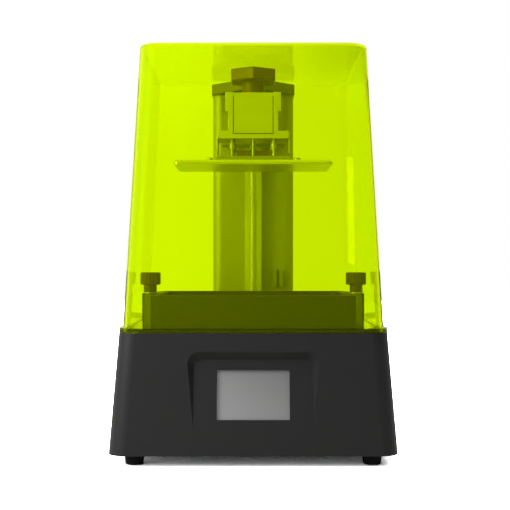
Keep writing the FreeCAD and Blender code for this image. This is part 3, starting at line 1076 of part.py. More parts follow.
sub_part("film_ring", cut("ring_cut", rounded_slab("ring_outer", "Dims.ring_length", "Dims.ring_width",
                                                   "Dims.window_corner", "Dims.ring_thick",
                                                   ("0", vat_y, f"{film_base} - Dims.ring_thick")),
                          [rounded_slab("ring_inner", "Dims.window_length", "Dims.window_width", "Dims.window_corner",
                                        "3 * Dims.ring_thick", ("0", vat_y, f"{film_base} - 2 * Dims.ring_thick"))]))

# Vat knobs with grooved grips, captive washers and the inserts under the deck
for side, name in ((-1, "left"), (1, "right")):
    x = f"{side} * Dims.knob_side"
    neck_base = f"({vat_top} + Dims.washer_thick)"
    knob = new_body(f"vat_knob_{name}_body")
    half = sketch_on(knob, f"vat_knob_{name}_half", "XZ")
    stud_low = f"({deck_base} - Dims.stud_grip)"
    neck_top = f"({neck_base} + Dims.knob_neck)"
    knob_top = f"({neck_top} + Dims.knob_head)"
    outline(half, [("0", stud_low), ("Dims.stud_radius", stud_low), ("Dims.stud_radius", neck_base),
                   ("Dims.knob_neck_radius", neck_base), ("Dims.knob_neck_radius", neck_top),
                   ("Dims.knob_radius - 1", neck_top), ("Dims.knob_radius", f"{neck_top} + 1"),
                   ("Dims.knob_radius", f"{knob_top} - 1"), ("Dims.knob_radius - 1", knob_top), ("0", knob_top)])
    turn = knob.newObject("PartDesign::Revolution", f"vat_knob_{name}_turn")
    turn.Profile = half
    turn.ReferenceAxis = (half, ["V_Axis"])
    turn.Angle = 360
    knob.Tip = turn
    groove = sketch_on(knob, f"vat_knob_{name}_groove", "XY", knob_top)
    circle(groove, "Dims.groove_radius", ("Dims.knob_radius + Dims.groove_radius / 4", "0"))
    groove_cut = pocket(knob, f"vat_knob_{name}_groove_cut", groove, "Dims.knob_head")
    ribs = knob.newObject("PartDesign::PolarPattern", f"vat_knob_{name}_ribs")
    ribs.Originals = [groove_cut]
    ribs.Axis = (half, ["V_Axis"])
    ribs.Angle = 360
    ribs.Occurrences = 18
    knob.Tip = ribs
    locate(knob, (x, vat_y, "0"))
    sub_part(f"vat_knob_{name}", knob)
    sub_part(f"knob_washer_{name}", cut(f"knob_washer_{name}_cut", rod(
        f"knob_washer_{name}_disc", "Dims.washer_radius", "Dims.washer_thick", (x, vat_y, vat_top)), [
        rod(f"knob_washer_{name}_bore", "Dims.stud_radius + Dims.run_gap", "4 * Dims.washer_thick",
            (x, vat_y, f"{vat_top} - Dims.washer_thick"))]))
sub_part("knob_inserts", group("insert_group", [
    cut(f"insert_{i}", rod(f"insert_case_{i}", "Dims.insert_radius", "Dims.insert_height",
                           (f"{side} * Dims.knob_side", vat_y, f"{deck_base} - Dims.insert_height")),
        [rod(f"insert_bore_{i}", "Dims.stud_radius + Dims.run_gap", "2 * Dims.insert_height",
             (f"{side} * Dims.knob_side", vat_y, f"{deck_base} - 1.5 * Dims.insert_height"))])
    for i, side in enumerate((-1, 1))]))

# Cover: tapered translucent hood with a foot flange
cover = new_body("cover_body")
cover_lean = "tan(Dims.cover_taper)"
cover_top = f"({deck_top} + Dims.cover_height)"
cover_low = sketch_on(cover, "cover_low", "XY", deck_top)
rounded_rectangle(cover_low, "Dims.cover_width", "Dims.cover_width", "Dims.cover_corner")
shoulder = f"({cover_top} - Dims.cover_edge)"
crown_width = f"(Dims.cover_width - 2 * (Dims.cover_height - Dims.cover_edge) * {cover_lean})"
crown_rings = []
for angle in (0, 30, 60, 90):
    inset = f"(Dims.cover_edge * (1 - cos({angle})))"
    ring = sketch_on(cover, f"cover_crown_{angle}", "XY", f"{shoulder} + Dims.cover_edge * sin({angle})")
    rounded_rectangle(ring, f"{crown_width} - 2 * {inset}", f"{crown_width} - 2 * {inset}",
                      f"Dims.cover_corner - {inset}")
    crown_rings.append(ring)
loft(cover, "AdditiveLoft", "cover_outside", cover_low, *crown_rings)
cover_foot = sketch_on(cover, "cover_foot", "XY", deck_top)
rounded_rectangle(cover_foot, top_width, top_width, "Dims.base_corner")
pad(cover, "cover_flange", cover_foot, "Dims.flange_height")
inside_corner = "(Dims.cover_corner - Dims.cover_wall)"
inside_low = sketch_on(cover, "cover_inside_low", "XY", deck_top)
rounded_rectangle(inside_low, "Dims.cover_width - 2 * Dims.cover_wall", "Dims.cover_width - 2 * Dims.cover_wall",
                  inside_corner)
inside_width = f"(Dims.cover_width - 2 * Dims.cover_wall - 2 * (Dims.cover_height - Dims.cover_wall) * {cover_lean})"
inside_high = sketch_on(cover, "cover_inside_high", "XY", f"{cover_top} - Dims.cover_wall")
rounded_rectangle(inside_high, inside_width, inside_width, inside_corner)
loft(cover, "SubtractiveLoft", "cover_inside", inside_low, inside_high)
sub_part("uv_cover", cover)

# Rear panel with the fan, its guard, the mains inlet, the switch and the stick port
panel_sheet = block("panel_sheet", ("Dims.panel_width", "Dims.panel_thick", "Dims.panel_height"),
                    ("0", "-Dims.panel_thick / 2", "-Dims.panel_height / 2"))


def panel_hole(name, width, height, x):
    gap = "2 * Dims.seat_gap"
    return block(name, (f"{width} + {gap}", "6 * Dims.panel_thick", f"{height} + {gap}"),
                 (x, "0", f"-({height} + {gap}) / 2"))


fan_x = "(-Dims.fan_side)"
fan_spots = [(f"{fan_x} + {sx} * Dims.fan_hole", f"{sz} * Dims.fan_hole") for sx, sz in corners]
panel_tools = [
    rod("panel_fan_hole", "Dims.fan_bore", "6 * Dims.panel_thick", (fan_x, "-3 * Dims.panel_thick", "0"), "y"),
    panel_hole("panel_inlet_hole", "Dims.inlet_width", "Dims.inlet_height", "Dims.inlet_side"),
    panel_hole("panel_switch_hole", "Dims.switch_width", "Dims.switch_height", "Dims.switch_side"),
    panel_hole("panel_port_hole", "Dims.port_width", "Dims.port_height", "Dims.port_side")]
panel_tools += [rod(f"panel_fan_screw_{i}", "Dims.small_screw + Dims.hole_gap", "6 * Dims.panel_thick",
                    (x, "-3 * Dims.panel_thick", z), "y") for i, (x, z) in enumerate(fan_spots)]
panel_tools += [rod(f"panel_case_screw_{i}", "Dims.small_screw + Dims.hole_gap", "6 * Dims.panel_thick",
                    (f"{sx} * {panel_x}", "-3 * Dims.panel_thick", f"{sz} * {panel_z}"), "y")
                for i, (sx, sz) in enumerate(panel_spots)]
sub_part("rear_panel", on_rear(cut("panel_cut", panel_sheet, panel_tools)))
panel_fixings = [(x, z, "Dims.fan_thick / 2") for x, z in fan_spots]
panel_fixings += [(f"{sx} * {panel_x}", f"{sz} * {panel_z}", "4") for sx, sz in panel_spots]
panel_screws = on_rear(group("panel_screw_group", [
    join(f"panel_screw_{i}", [
        rod(f"panel_screw_head_{i}", "Dims.small_head", "Dims.small_head_height", (x, "0", z), "y"),
        rod(f"panel_screw_shank_{i}", "Dims.small_screw", length, (x, f"-({length})", z), "y")])
    for i, (x, z, length) in enumerate(panel_fixings)]))
sub_part("case_screws", group("case_screw_group", [bottom_screws, panel_screws]))

fan_face = "(-Dims.panel_thick)"
fan_back = "(-Dims.panel_thick - Dims.fan_thick)"
fan_case = block("fan_case", ("Dims.fan_size", "Dims.fan_thick", "Dims.fan_size"),
                 (fan_x, f"({fan_face} + {fan_back}) / 2", "-Dims.fan_size / 2"))
fan_tools = [rod("fan_tunnel", "Dims.fan_bore", "2 * Dims.fan_thick", (fan_x, f"{fan_back} - 5", "0"), "y")]
fan_tools += [rod(f"fan_screw_hole_{i}", "Dims.small_screw + Dims.hole_gap", "2 * Dims.fan_thick",
                  (x, f"{fan_back} - 5", z), "y") for i, (x, z) in enumerate(fan_spots)]
fan_ring = cut("fan_ring", fan_case, fan_tools)
hub_plate = rod("fan_hub_plate", "Dims.fan_hub", "2", (fan_x, fan_back, "0"), "y")
struts = []
for k in range(3):
    strut = doc.addObject("Part::Box", f"fan_strut_{k}")
    bind(strut, {"Length": "3", "Width": "2", "Height": "Dims.fan_bore + 1"})
    turn = FreeCAD.Rotation(FreeCAD.Vector(0, 1, 0), 120 * k)
    shift = turn.multVec(FreeCAD.Vector(-1.5, 0, 0))
    strut.Placement.Rotation = turn
    locate(strut, (f"{fan_x} + {shift.x}", fan_back, str(shift.z)))
    struts.append(strut)
sub_part("fan_frame", on_rear(join("fan_frame_joined", [fan_ring, hub_plate] + struts)))
rotor_back = f"({fan_back} + 2.6)"
rotor_front = f"({fan_face} - 1.5)"
rotor_pieces = [rod("rotor_hub", "Dims.fan_hub", f"{rotor_front} - {rotor_back}", (fan_x, rotor_back, "0"), "y")]
for k in range(7):
    blade = doc.addObject("Part::Box", f"rotor_blade_{k}")
    bind(blade, {"Length": "Dims.blade_thick", "Width": "Dims.blade_chord",
                 "Height": "Dims.fan_bore - Dims.blade_gap - Dims.fan_hub + 1"})
    lean = FreeCAD.Rotation(FreeCAD.Vector(0, 0, 1), value("Dims.blade_pitch"))
    turn = FreeCAD.Rotation(FreeCAD.Vector(0, 1, 0), 360.0 / 7 * k)
    corner = FreeCAD.Vector(-value("Dims.blade_thick") / 2, -value("Dims.blade_chord") / 2, 0)
    shift = turn.multVec(lean.multVec(corner) + FreeCAD.Vector(0, 0, value("Dims.fan_hub") - 1))
    blade.Placement.Rotation = turn.multiply(lean)
    locate(blade, (f"{fan_x} + {shift.x}", f"({rotor_back} + {rotor_front}) / 2 + {shift.y}", str(shift.z)))
    rotor_pieces.append(blade)
sub_part("fan_rotor", on_rear(join("rotor_joined", rotor_pieces)))
guard_pieces = []
for k, share in enumerate((1.0, 0.68, 0.36)):
    outer = rod(f"guard_outer_{k}", f"{share} * (Dims.fan_bore + 1.5)", "Dims.guard_wire", (fan_x, "0", "0"), "y")
    inner = rod(f"guard_inner_{k}", f"{share} * (Dims.fan_bore + 1.5) - Dims.guard_wire", "4 * Dims.guard_wire",
                (fan_x, "-Dims.guard_wire", "0"), "y")
    guard_pieces.append(cut(f"guard_ring_{k}", outer, [inner]))
guard_pieces.append(block("guard_bar_high", ("Dims.guard_wire", "Dims.guard_wire", "2 * Dims.fan_bore + 2"),
                          (fan_x, "Dims.guard_wire / 2", "-Dims.fan_bore - 1")))
guard_pieces.append(block("guard_bar_wide", ("2 * Dims.fan_bore + 2", "Dims.guard_wire", "Dims.guard_wire"),
                          (fan_x, "Dims.guard_wire / 2", "-Dims.guard_wire / 2")))
sub_part("fan_guard", on_rear(join("guard_joined", guard_pieces)))


def fitting(name, width, height, depth, x, room_width, room_height, room_depth, bores=()):
    # Electric fitting through the panel: flange outside, body inside, and a room open to the back
    body = block(f"{name}_case", (width, depth, height), (x, f"-({depth}) / 2", f"-({height}) / 2"))
    flange = block(f"{name}_flange", (f"{width} + 2 * Dims.bezel", "Dims.bezel_thick", f"{height} + 2 * Dims.bezel"),
                   (x, "Dims.bezel_thick / 2", f"-({height} + 2 * Dims.bezel) / 2"))
    room = block(f"{name}_room", (room_width, f"{room_depth} + 4", room_height),
                 (x, f"Dims.bezel_thick + 2 - ({room_depth} - 0) / 2", f"-({room_height}) / 2"))
    return on_rear(cut(f"{name}_cut", join(f"{name}_joined", [body, flange]), [room, *bores]))


sub_part("power_inlet", fitting("inlet", "Dims.inlet_width", "Dims.inlet_height", "Dims.inlet_depth", "Dims.inlet_side",
                                "Dims.inlet_width - 2 * Dims.inlet_wall", "Dims.inlet_height - 2 * Dims.inlet_wall",
                                "Dims.inlet_depth - 2"))
pin_spots = [("0", "3.5"), ("-7", "-0.5"), ("7", "-0.5")]
pin_base = "(Dims.bezel_thick + 2 - (Dims.inlet_depth - 2) / 2 - (Dims.inlet_depth + 2) / 2)"
sub_part("inlet_pins", on_rear(group("inlet_pin_group", [
    block(f"inlet_pin_{i}", ("2", "13", "4"), (f"Dims.inlet_side + {x}", f"{pin_base} + 6.5", f"{z} - 2"))
    for i, (x, z) in enumerate(pin_spots)])))
sub_part("switch_body", fitting("switch", "Dims.switch_width", "Dims.switch_height", "Dims.switch_depth",
                                "Dims.switch_side", "Dims.rocker_width + 4 * Dims.seat_gap",
                                "Dims.rocker_length + 10 * Dims.seat_gap", "Dims.switch_depth - 4", [
    rod("switch_pin_bore", "Dims.pin_radius + Dims.run_gap", "Dims.switch_width + 2",
        ("Dims.switch_side - Dims.switch_width / 2 - 1", "-Dims.rocker_pivot", "0"), "x")]))
rocker = new_body("rocker_body")
rocker_side = sketch_on(rocker, "rocker_side", "YZ", "-Dims.rocker_width / 2")
half_rocker = "(Dims.rocker_length / 2)"
outline(rocker_side, [("0.5", f"-{half_rocker}"), ("4.4", f"-{half_rocker}"), ("3", "0"), ("4.4", half_rocker),
                      ("0.5", half_rocker), ("-2", "0")])
pad(rocker, "rocker_pad", rocker_side, "Dims.rocker_width")
rocker_pin = sketch_on(rocker, "rocker_pin", "YZ", "-Dims.rocker_width / 2 - Dims.pin_reach")
circle(rocker_pin, "Dims.pin_radius")
pad(rocker, "rocker_pin_pad", rocker_pin, "Dims.rocker_width + 2 * Dims.pin_reach")
rocker_lean = "Dims.base_taper + Dims.rocker_tilt"
in_frame(rocker, rocker_lean, "0", "0")
wall_y = "(Dims.base_width / 2 - (Dims.panel_level - Dims.foot_height) * tan(Dims.base_taper))"
locate(rocker, ("Dims.switch_side", f"{wall_y} - Dims.rocker_pivot * cos(Dims.base_taper)",
                "Dims.panel_level - Dims.rocker_pivot * sin(Dims.base_taper)"))
sub_part("power_rocker", rocker)
port_shell = block("port_shell", ("Dims.port_width", "Dims.port_depth + 0.5", "Dims.port_height"),
                   ("Dims.port_side", "(0.5 - Dims.port_depth) / 2", "-Dims.port_height / 2"))
port_room = block("port_room", ("Dims.port_width - 2 * Dims.port_wall", "Dims.port_depth",
                                "Dims.port_height - 2 * Dims.port_wall"),
                  ("Dims.port_side", "1.1 - Dims.port_depth / 2", "Dims.port_wall - Dims.port_height / 2"))
port_tongue = block("port_tongue", ("Dims.port_width - 4", "Dims.port_depth - 2", "1.8"),
                    ("Dims.port_side", "-Dims.port_depth / 2 - 0.5", "0.6"))
sub_part("usb_port", on_rear(join("port_joined", [cut("port_cut", port_shell, [port_room]), port_tongue])))

# Main board with its connectors on standoffs, and the power supply
case_inside = "(Dims.base_width / 2 - Dims.shell_wall)"
board_x = f"(Dims.board_side_room + Dims.board_length / 2 - {case_inside})"
board_y = f"({case_inside} - Dims.board_back_room - Dims.board_width / 2)"
supply_x = f"({case_inside} - Dims.supply_side_room - Dims.supply_length / 2)"
supply_y = f"({case_inside} - Dims.supply_back_room - Dims.supply_width / 2)"
board_level = f"({floor_top} + Dims.board_lift)"
board_sheet = block("board_sheet", ("Dims.board_length", "Dims.board_width", "Dims.board_thick"),
                    (board_x, board_y, board_level))
board_posts = group("board_post_group", [
    rod(f"board_post_{i}", "Dims.post_radius * 0.75", "Dims.board_lift",
        (f"{board_x} + {sx} * (Dims.board_length / 2 - 5)", f"{board_y} + {sy} * (Dims.board_width / 2 - 5)", floor_top))
    for i, (sx, sy) in enumerate(corners)])
sub_part("floor_posts", group("floor_post_group", [sink_posts, board_posts]))
board_items = [(-0.34, 0.36, 16, 10, 9), (-0.1, 0.36, 16, 10, 9), (0.14, 0.36, 16, 10, 9), (0.36, 0.3, 14, 16, 11),
               (0, -0.02, 15, 15, 2), (-0.28, -0.2, 24, 18, 6), (0.3, -0.24, 10, 24, 8)]
sub_part("mainboard", join("board_joined", [board_sheet] + [
    block(f"board_item_{i}", (str(long_side), str(short_side), str(high + 0.5)),
          (f"{board_x} + {u} * Dims.board_length", f"{board_y} + {v} * Dims.board_width",
           f"{board_level} + Dims.board_thick - 0.5"))
    for i, (u, v, long_side, short_side, high) in enumerate(board_items)]))
sub_part("power_supply", rounded_slab("supply_case", "Dims.supply_length", "Dims.supply_width", "2",
                                      "Dims.supply_height", (supply_x, supply_y, floor_top)))

doc.recompute()
faulty = [thing.Name for thing in doc.Objects if "Invalid" in thing.State or "Error" in thing.State]
for name, thing in parts.items():
    shape = thing.Shape
    if shape.isNull() or not shape.isValid() or not shape.Solids:
        faulty.append(name)
if faulty:
    raise RuntimeError(f"faulty objects: {faulty}")
for name, thing in parts.items():
    thing.Shape.exportStep(f"parts/{name}.step")
print(f"{len(parts)} sub-parts written")
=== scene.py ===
import math

import bmesh
import bpy
import numpy as np
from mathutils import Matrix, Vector


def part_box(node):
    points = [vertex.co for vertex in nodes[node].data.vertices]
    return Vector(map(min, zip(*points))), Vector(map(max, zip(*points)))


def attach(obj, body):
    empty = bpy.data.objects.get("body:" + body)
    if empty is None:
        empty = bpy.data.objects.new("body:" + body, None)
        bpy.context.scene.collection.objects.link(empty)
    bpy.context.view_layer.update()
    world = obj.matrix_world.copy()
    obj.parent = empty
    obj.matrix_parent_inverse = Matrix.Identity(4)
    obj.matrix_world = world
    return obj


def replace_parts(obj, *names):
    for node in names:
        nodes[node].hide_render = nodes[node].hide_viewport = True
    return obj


# Desktop resin printer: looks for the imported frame, metres, front towards -Y

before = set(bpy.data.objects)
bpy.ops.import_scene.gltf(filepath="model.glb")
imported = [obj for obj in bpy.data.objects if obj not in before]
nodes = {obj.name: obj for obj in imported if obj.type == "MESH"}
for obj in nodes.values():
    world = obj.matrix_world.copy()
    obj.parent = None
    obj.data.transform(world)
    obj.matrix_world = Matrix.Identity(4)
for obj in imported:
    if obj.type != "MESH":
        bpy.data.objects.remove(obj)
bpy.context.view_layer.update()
print("frame loaded,", len(nodes), "pieces")

squareCorners = ((-1, -1), (1, -1), (1, 1), (-1, 1))
mergeDistance = 1e-7    # corner points nearer than this are one point
colourSockets = {"first": 6, "second": 7, "result": 2}    # where the Mix node keeps its colours
numberSockets = {"first": 2, "second": 3, "result": 0}    # and its numbers


def linear(rgb):
    # screen colour 0-255 to the values the shader wants, by the screen's own curve
    shares = [c / 255 for c in rgb]
    return tuple(s / 12.92 if s <= 0.04045 else ((s + 0.055) / 1.055) ** 2.4 for s in shares)


# Node helpers

def newMaterial(name):
    material = bpy.data.materials.new(name)
    material.use_nodes = True
    return material, material.node_tree, material.node_tree.nodes["Principled BSDF"]


def mathNode(tree, operation, first, second):
    # first is a socket, second a socket or a plain number
    node = tree.nodes.new("ShaderNodeMath")
    node.operation = operation
    tree.links.new(first, node.inputs[0])
    if isinstance(second, float):
        node.inputs[1].default_value = second
    else:
        tree.links.new(second, node.inputs[1])
    return node.outputs[0]


def vectorNode(tree, operation, source, second=None):
    # second is three plain values, where the operation needs them
    node = tree.nodes.new("ShaderNodeVectorMath")
    node.operation = operation
    tree.links.new(source, node.inputs[0])
    if second is not None:
        node.inputs[1].default_value = second
    return node


def rangeNode(tree, source, span, result=(0.0, 1.0), kind="LINEAR"):
    # source stretched from its span to the result's
    node = tree.nodes.new("ShaderNodeMapRange")
    node.interpolation_type = kind
    tree.links.new(source, node.inputs["Value"])
    for name, number in zip(("From Min", "From Max", "To Min", "To Max"), (*span, *result)):
        node.inputs[name].default_value = number
    return node


def colourMix(tree, factor, first, second):
    # each colour is a socket or three plain values
    node = tree.nodes.new("ShaderNodeMix")
    node.data_type = "RGBA"
    tree.links.new(factor, node.inputs[0])
    for name, colour in (("first", first), ("second", second)):
        socket = node.inputs[colourSockets[name]]
        if isinstance(colour, tuple):
            socket.default_value = (*colour, 1)
        else:
            tree.links.new(colour, socket)
    return node.outputs[colourSockets["result"]]


# Shared effects, one node group each

effectLook = {
    "mouldedGrain": {"broadShare": 0.03, "fineDetail": 2, "broadDetail": 3},
    "drawnMetal": {"broadShare": 0.2, "fineDetail": 4, "broadDetail": 3},
}
effectInputs = (("Colour", "NodeSocketColor", (0.5, 0.5, 0.5, 1)), ("Shade", "NodeSocketFloat", 0.85),
                ("Rough", "NodeSocketFloat", 0.5), ("Vary", "NodeSocketFloat", 0.05),
                ("Scale", "NodeSocketFloat", 800.0), ("Stretch", "NodeSocketVector", (1, 1, 1)))
effectOutputs = (("Colour", "NodeSocketColor"), ("Roughness", "NodeSocketFloat"),
                 ("Height", "NodeSocketFloat"))
noiseSpan = (0.3, 0.7)    # where most of the noise lies


def newGroup(name, inputs, outputs):
    group = bpy.data.node_groups.new(name, "ShaderNodeTree")
    for label, kind, start in inputs:
        socket = group.interface.new_socket(name=label, in_out="INPUT", socket_type=kind)
        socket.default_value = start
    for label, kind in outputs:
        group.interface.new_socket(name=label, in_out="OUTPUT", socket_type=kind)
    return group, group.nodes.new("NodeGroupInput"), group.nodes.new("NodeGroupOutput")


def roughSpread(group, noise, entry):
    # noise to a roughness between Rough less Vary and Rough plus Vary
    node = rangeNode(group, noise, noiseSpan)
    for operation, name in (("SUBTRACT", "To Min"), ("ADD", "To Max")):
        limit = mathNode(group, operation, entry.outputs["Rough"], entry.outputs["Vary"])
        group.links.new(limit, node.inputs[name])
    return node.outputs["Result"]


def shadeMix(group, noise, entry):
    # the colour and a slightly darker one, mixed by broad noise
    dark = group.nodes.new("ShaderNodeHueSaturation")
    group.links.new(entry.outputs["Colour"], dark.inputs["Color"])
    group.links.new(entry.outputs["Shade"], dark.inputs["Value"])
    return colourMix(group, noise, dark.outputs["Color"], entry.outputs["Colour"])


def makeEffect(name, look):
    group, entry, leave = newGroup(name, effectInputs, effectOutputs)
    place = group.nodes.new("ShaderNodeTexCoord")
    stretch = vectorNode(group, "MULTIPLY", place.outputs["Object"])
    group.links.new(entry.outputs["Stretch"], stretch.inputs[1])

    def noise(scale, detail):
        node = group.nodes.new("ShaderNodeTexNoise")
        node.inputs["Detail"].default_value = detail
        group.links.new(stretch.outputs[0], node.inputs["Vector"])
        group.links.new(scale, node.inputs["Scale"])
        return node.outputs["Fac"]

    fine = noise(entry.outputs["Scale"], look["fineDetail"])
    broadScale = mathNode(group, "MULTIPLY", entry.outputs["Scale"], look["broadShare"])
    broad = noise(broadScale, look["broadDetail"])
    group.links.new(shadeMix(group, broad, entry), leave.inputs["Colour"])
    group.links.new(roughSpread(group, broad, entry), leave.inputs["Roughness"])
    group.links.new(fine, leave.inputs["Height"])
    return group


effects = {name: makeEffect(name, look) for name, look in effectLook.items()}


# Finishes

# What a look has where it says nothing else
plainFinish = {"effect": "mouldedGrain", "metal": 0.0, "specular": 0.5, "shade": 0.88, "vary": 0.05,
               "scale": 900.0, "stretch": (1, 1, 1), "bump": 0.1, "bumpDepth": 0.0004}


def finishMaterial(name, look):
    # solid finish: shader constants from the look, colour, roughness and bump from its effect
    values = {**plainFinish, **look}
    material, tree, shader = newMaterial(name)
    shader.inputs["Metallic"].default_value = values["metal"]
    shader.inputs["Specular IOR Level"].default_value = values["specular"]
    effect = tree.nodes.new("ShaderNodeGroup")
    effect.node_tree = effects[values["effect"]]
    effect.inputs["Colour"].default_value = (*linear(values["colour"]), 1)
    for label in ("Shade", "Rough", "Vary", "Scale", "Stretch"):
        effect.inputs[label].default_value = values[label.lower()]
    bump = tree.nodes.new("ShaderNodeBump")
    bump.inputs["Strength"].default_value = values["bump"]
    bump.inputs["Distance"].default_value = values["bumpDepth"]
    if "edge" in values:
        edge = tree.nodes.new("ShaderNodeBevel")    # softened edges that catch the light
        edge.inputs["Radius"].default_value = values["edge"]
        tree.links.new(edge.outputs["Normal"], bump.inputs["Normal"])
    tree.links.new(effect.outputs["Colour"], shader.inputs["Base Color"])
    tree.links.new(effect.outputs["Roughness"], shader.inputs["Roughness"])
    tree.links.new(effect.outputs["Height"], bump.inputs["Height"])
    tree.links.new(bump.outputs["Normal"], shader.inputs["Normal"])
    return material


def clearMaterial(name, look):
    # see-through finish, with a deeper foot and light let through where the look asks for them
    material, tree, shader = newMaterial(name)
    shader.inputs["Base Color"].default_value = (*look["tint"], 1)
    shader.inputs["Roughness"].default_value = look["rough"]
    shader.inputs["IOR"].default_value = look["ior"]
    shader.inputs["Transmission Weight"].default_value = look["clear"]
    shader.inputs["Specular IOR Level"].default_value = look.get("specular", plainFinish["specular"])
    if "specularTint" in look:
        shader.inputs["Specular Tint"].default_value = (*look["specularTint"], 1)
    if "deep" in look:
        deepFoot(tree, shader, look)
    if "letLight" in look:
        lightThrough(tree, shader, look)
    return material


def deepFoot(tree, shader, look):
    # the tint deepens below the given level, towards the sheet's foot
    place = tree.nodes.new("ShaderNodeTexCoord")
    axes = tree.nodes.new("ShaderNodeSeparateXYZ")
    tree.links.new(place.outputs["Object"], axes.inputs[0])
    level = rangeNode(tree, axes.outputs["Z"], (look["deepBelow"] - look["deepFade"], look["deepBelow"]))
    tint = colourMix(tree, level.outputs["Result"], look["deep"], look["tint"])
    tree.links.new(tint, shader.inputs["Base Color"])


def lightThrough(tree, shader, look):
    # lamps and the room light what stands behind the sheet, in the sheet's own tint,
    # and light caught between its two faces comes out again
    path = tree.nodes.new("ShaderNodeLightPath")
    passes = mathNode(tree, "GREATER_THAN", path.outputs["Glossy Depth"], look["caughtAfter"])
    for ray in ("Is Shadow Ray", "Is Diffuse Ray"):
        passes = mathNode(tree, "MAXIMUM", passes, path.outputs[ray])
    through = tree.nodes.new("ShaderNodeBsdfTransparent")
    through.inputs["Color"].default_value = (*look["letLight"], 1)
    surface = shaderMix(tree, passes, shader.outputs[0], through.outputs[0])
    tree.links.new(surface, tree.nodes["Material Output"].inputs["Surface"])


def shaderMix(tree, factor, first, second):
    node = tree.nodes.new("ShaderNodeMixShader")
    for socket, source in zip(node.inputs, (factor, first, second)):
        tree.links.new(source, socket)
    return node.outputs[0]


def dress(material, *names):
    for name in names:
        nodes[name].data.materials.clear()
        nodes[name].data.materials.append(material)


# Mesh helpers

def nodeMesh(node):
    bm = bmesh.new()
    bm.from_mesh(nodes[node].data)
    bmesh.ops.remove_doubles(bm, verts=bm.verts, dist=mergeDistance)
    return bm


def band(bm, lower, upper):
    # four-sided faces between two closed rows of points
    count = len(lower)
    for k in range(count):
        n = (k + 1) % count
        bm.faces.new((lower[k], lower[n], upper[n], upper[k]))


def closedBody(bm, rings):
    for lower, upper in zip(rings, rings[1:]):
        band(bm, lower, upper)
    bm.faces.new(list(reversed(rings[0])))
    bm.faces.new(rings[-1])


def smooth(obj, angle):
    obj.data.shade_smooth()
    bpy.context.view_layer.objects.active = obj
    obj.select_set(True)
    bpy.ops.object.shade_auto_smooth(angle=math.radians(angle))
    obj.select_set(False)


def meshPiece(name, bm, material, body):
    data = bpy.data.meshes.new(name)
    bmesh.ops.recalc_face_normals(bm, faces=bm.faces)
    bm.to_mesh(data)
    bm.free()
    obj = bpy.data.objects.new(name, data)
    bpy.context.scene.collection.objects.link(obj)
    obj.data.materials.append(material)
    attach(obj, body)
    return obj


# Screws: the solids' own places and sizes, with a drive recess cut in each head

screwLook = {"around": 36, "recess": 0.55, "chamfer": 0.12, "rimShare": 0.99, "endDepth": 1e-6,
             "smooth": 30.0}
# Sizes of a drive are shares of the head's radius
driveLook = {"hexFlat": 0.52, "crossCore": 0.2, "crossArm": 0.42, "crossSharp": 6}


def islands(node):
    # each loose solid of the node, as its corner points
    bm = nodeMesh(node)
    seen = set()
    found = []
    for start in bm.verts:
        if start in seen:
            continue
        seen.add(start)
        stack = [start]
        part = []
        while stack:
            vert = stack.pop()
            part.append(vert.co.copy())
            near = [edge.other_vert(vert) for edge in vert.link_edges]
            fresh = [other for other in near if other not in seen]
            seen.update(fresh)
            stack.extend(fresh)
        found.append(np.array(part))
    bm.free()
    return found


def screwSizes(points, look):
    # axis from the spread of the points, then the head's and the shank's sizes along it
    middle = (points.min(0) + points.max(0)) / 2
    mean = points.mean(0)
    offsets = points - mean
    spreads, axes = np.linalg.eigh(np.cov(offsets.T))
    odd = 0 if abs(spreads[1] - spreads[0]) > abs(spreads[2] - spreads[1]) else 2
    axis = axes[:, odd]
    along = (points - middle) @ axis
    away = np.linalg.norm(offsets - np.outer(offsets @ axis, axis), axis=1)
    headRadius = away.max()
    onHead = away > headRadius * look["rimShare"]
    if along[onHead].mean() < 0:
        axis, along = -axis, -along
    atEnd = along < along.min() + look["endDepth"]
    centre = mean - axis * ((mean - middle) @ axis)
    return {"centre": Vector(centre), "axis": Vector(axis), "headRadius": headRadius, "headTop": along.max(),
            "headBase": along[onHead].min(), "shankRadius": away[atEnd].max(), "shankEnd": along.min()}


def hexDrive(turn):
    return driveLook["hexFlat"] / math.cos(turn % (math.pi / 3) - math.pi / 6)


def crossDrive(turn):
    arm = abs(math.cos(2 * turn)) ** driveLook["crossSharp"]
    return driveLook["crossCore"] + driveLook["crossArm"] * arm


def roundRim(turn):
    return 1.0


def screwBody(bm, size, drive, look):
    # shank, head with a chamfered rim, and the drive recess sunk in its top
    side = size["axis"].orthogonal().normalized()
    other = size["axis"].cross(side)
    shank, head = size["shankRadius"], size["headRadius"]
    base, top = size["headBase"], size["headTop"]
    cut = look["chamfer"] * head
    sunk = look["recess"] * (top - base)

    def ring(radius, height, outline=roundRim):
        made = []
        for k in range(look["around"]):
            turn = 2 * math.pi * k / look["around"]
            reach = radius * outline(turn)
            spot = side * (reach * math.cos(turn)) + other * (reach * math.sin(turn))
            made.append(bm.verts.new(size["centre"] + spot + size["axis"] * height))
        return made

    closedBody(bm, [ring(shank, size["shankEnd"]), ring(shank, base), ring(head, base), ring(head, top - cut),
                    ring(head - cut, top), ring(head, top, drive), ring(head, top - sunk, drive)])


def driveScrews(name, node, drive, material, body):
    bm = bmesh.new()
    for points in islands(node):
        screwBody(bm, screwSizes(points, screwLook), drive, screwLook)
    obj = meshPiece(name, bm, material, body)
    smooth(obj, screwLook["smooth"])
    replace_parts(obj, node)


# Base: dark grey satin case, black floor sheet, rubber feet

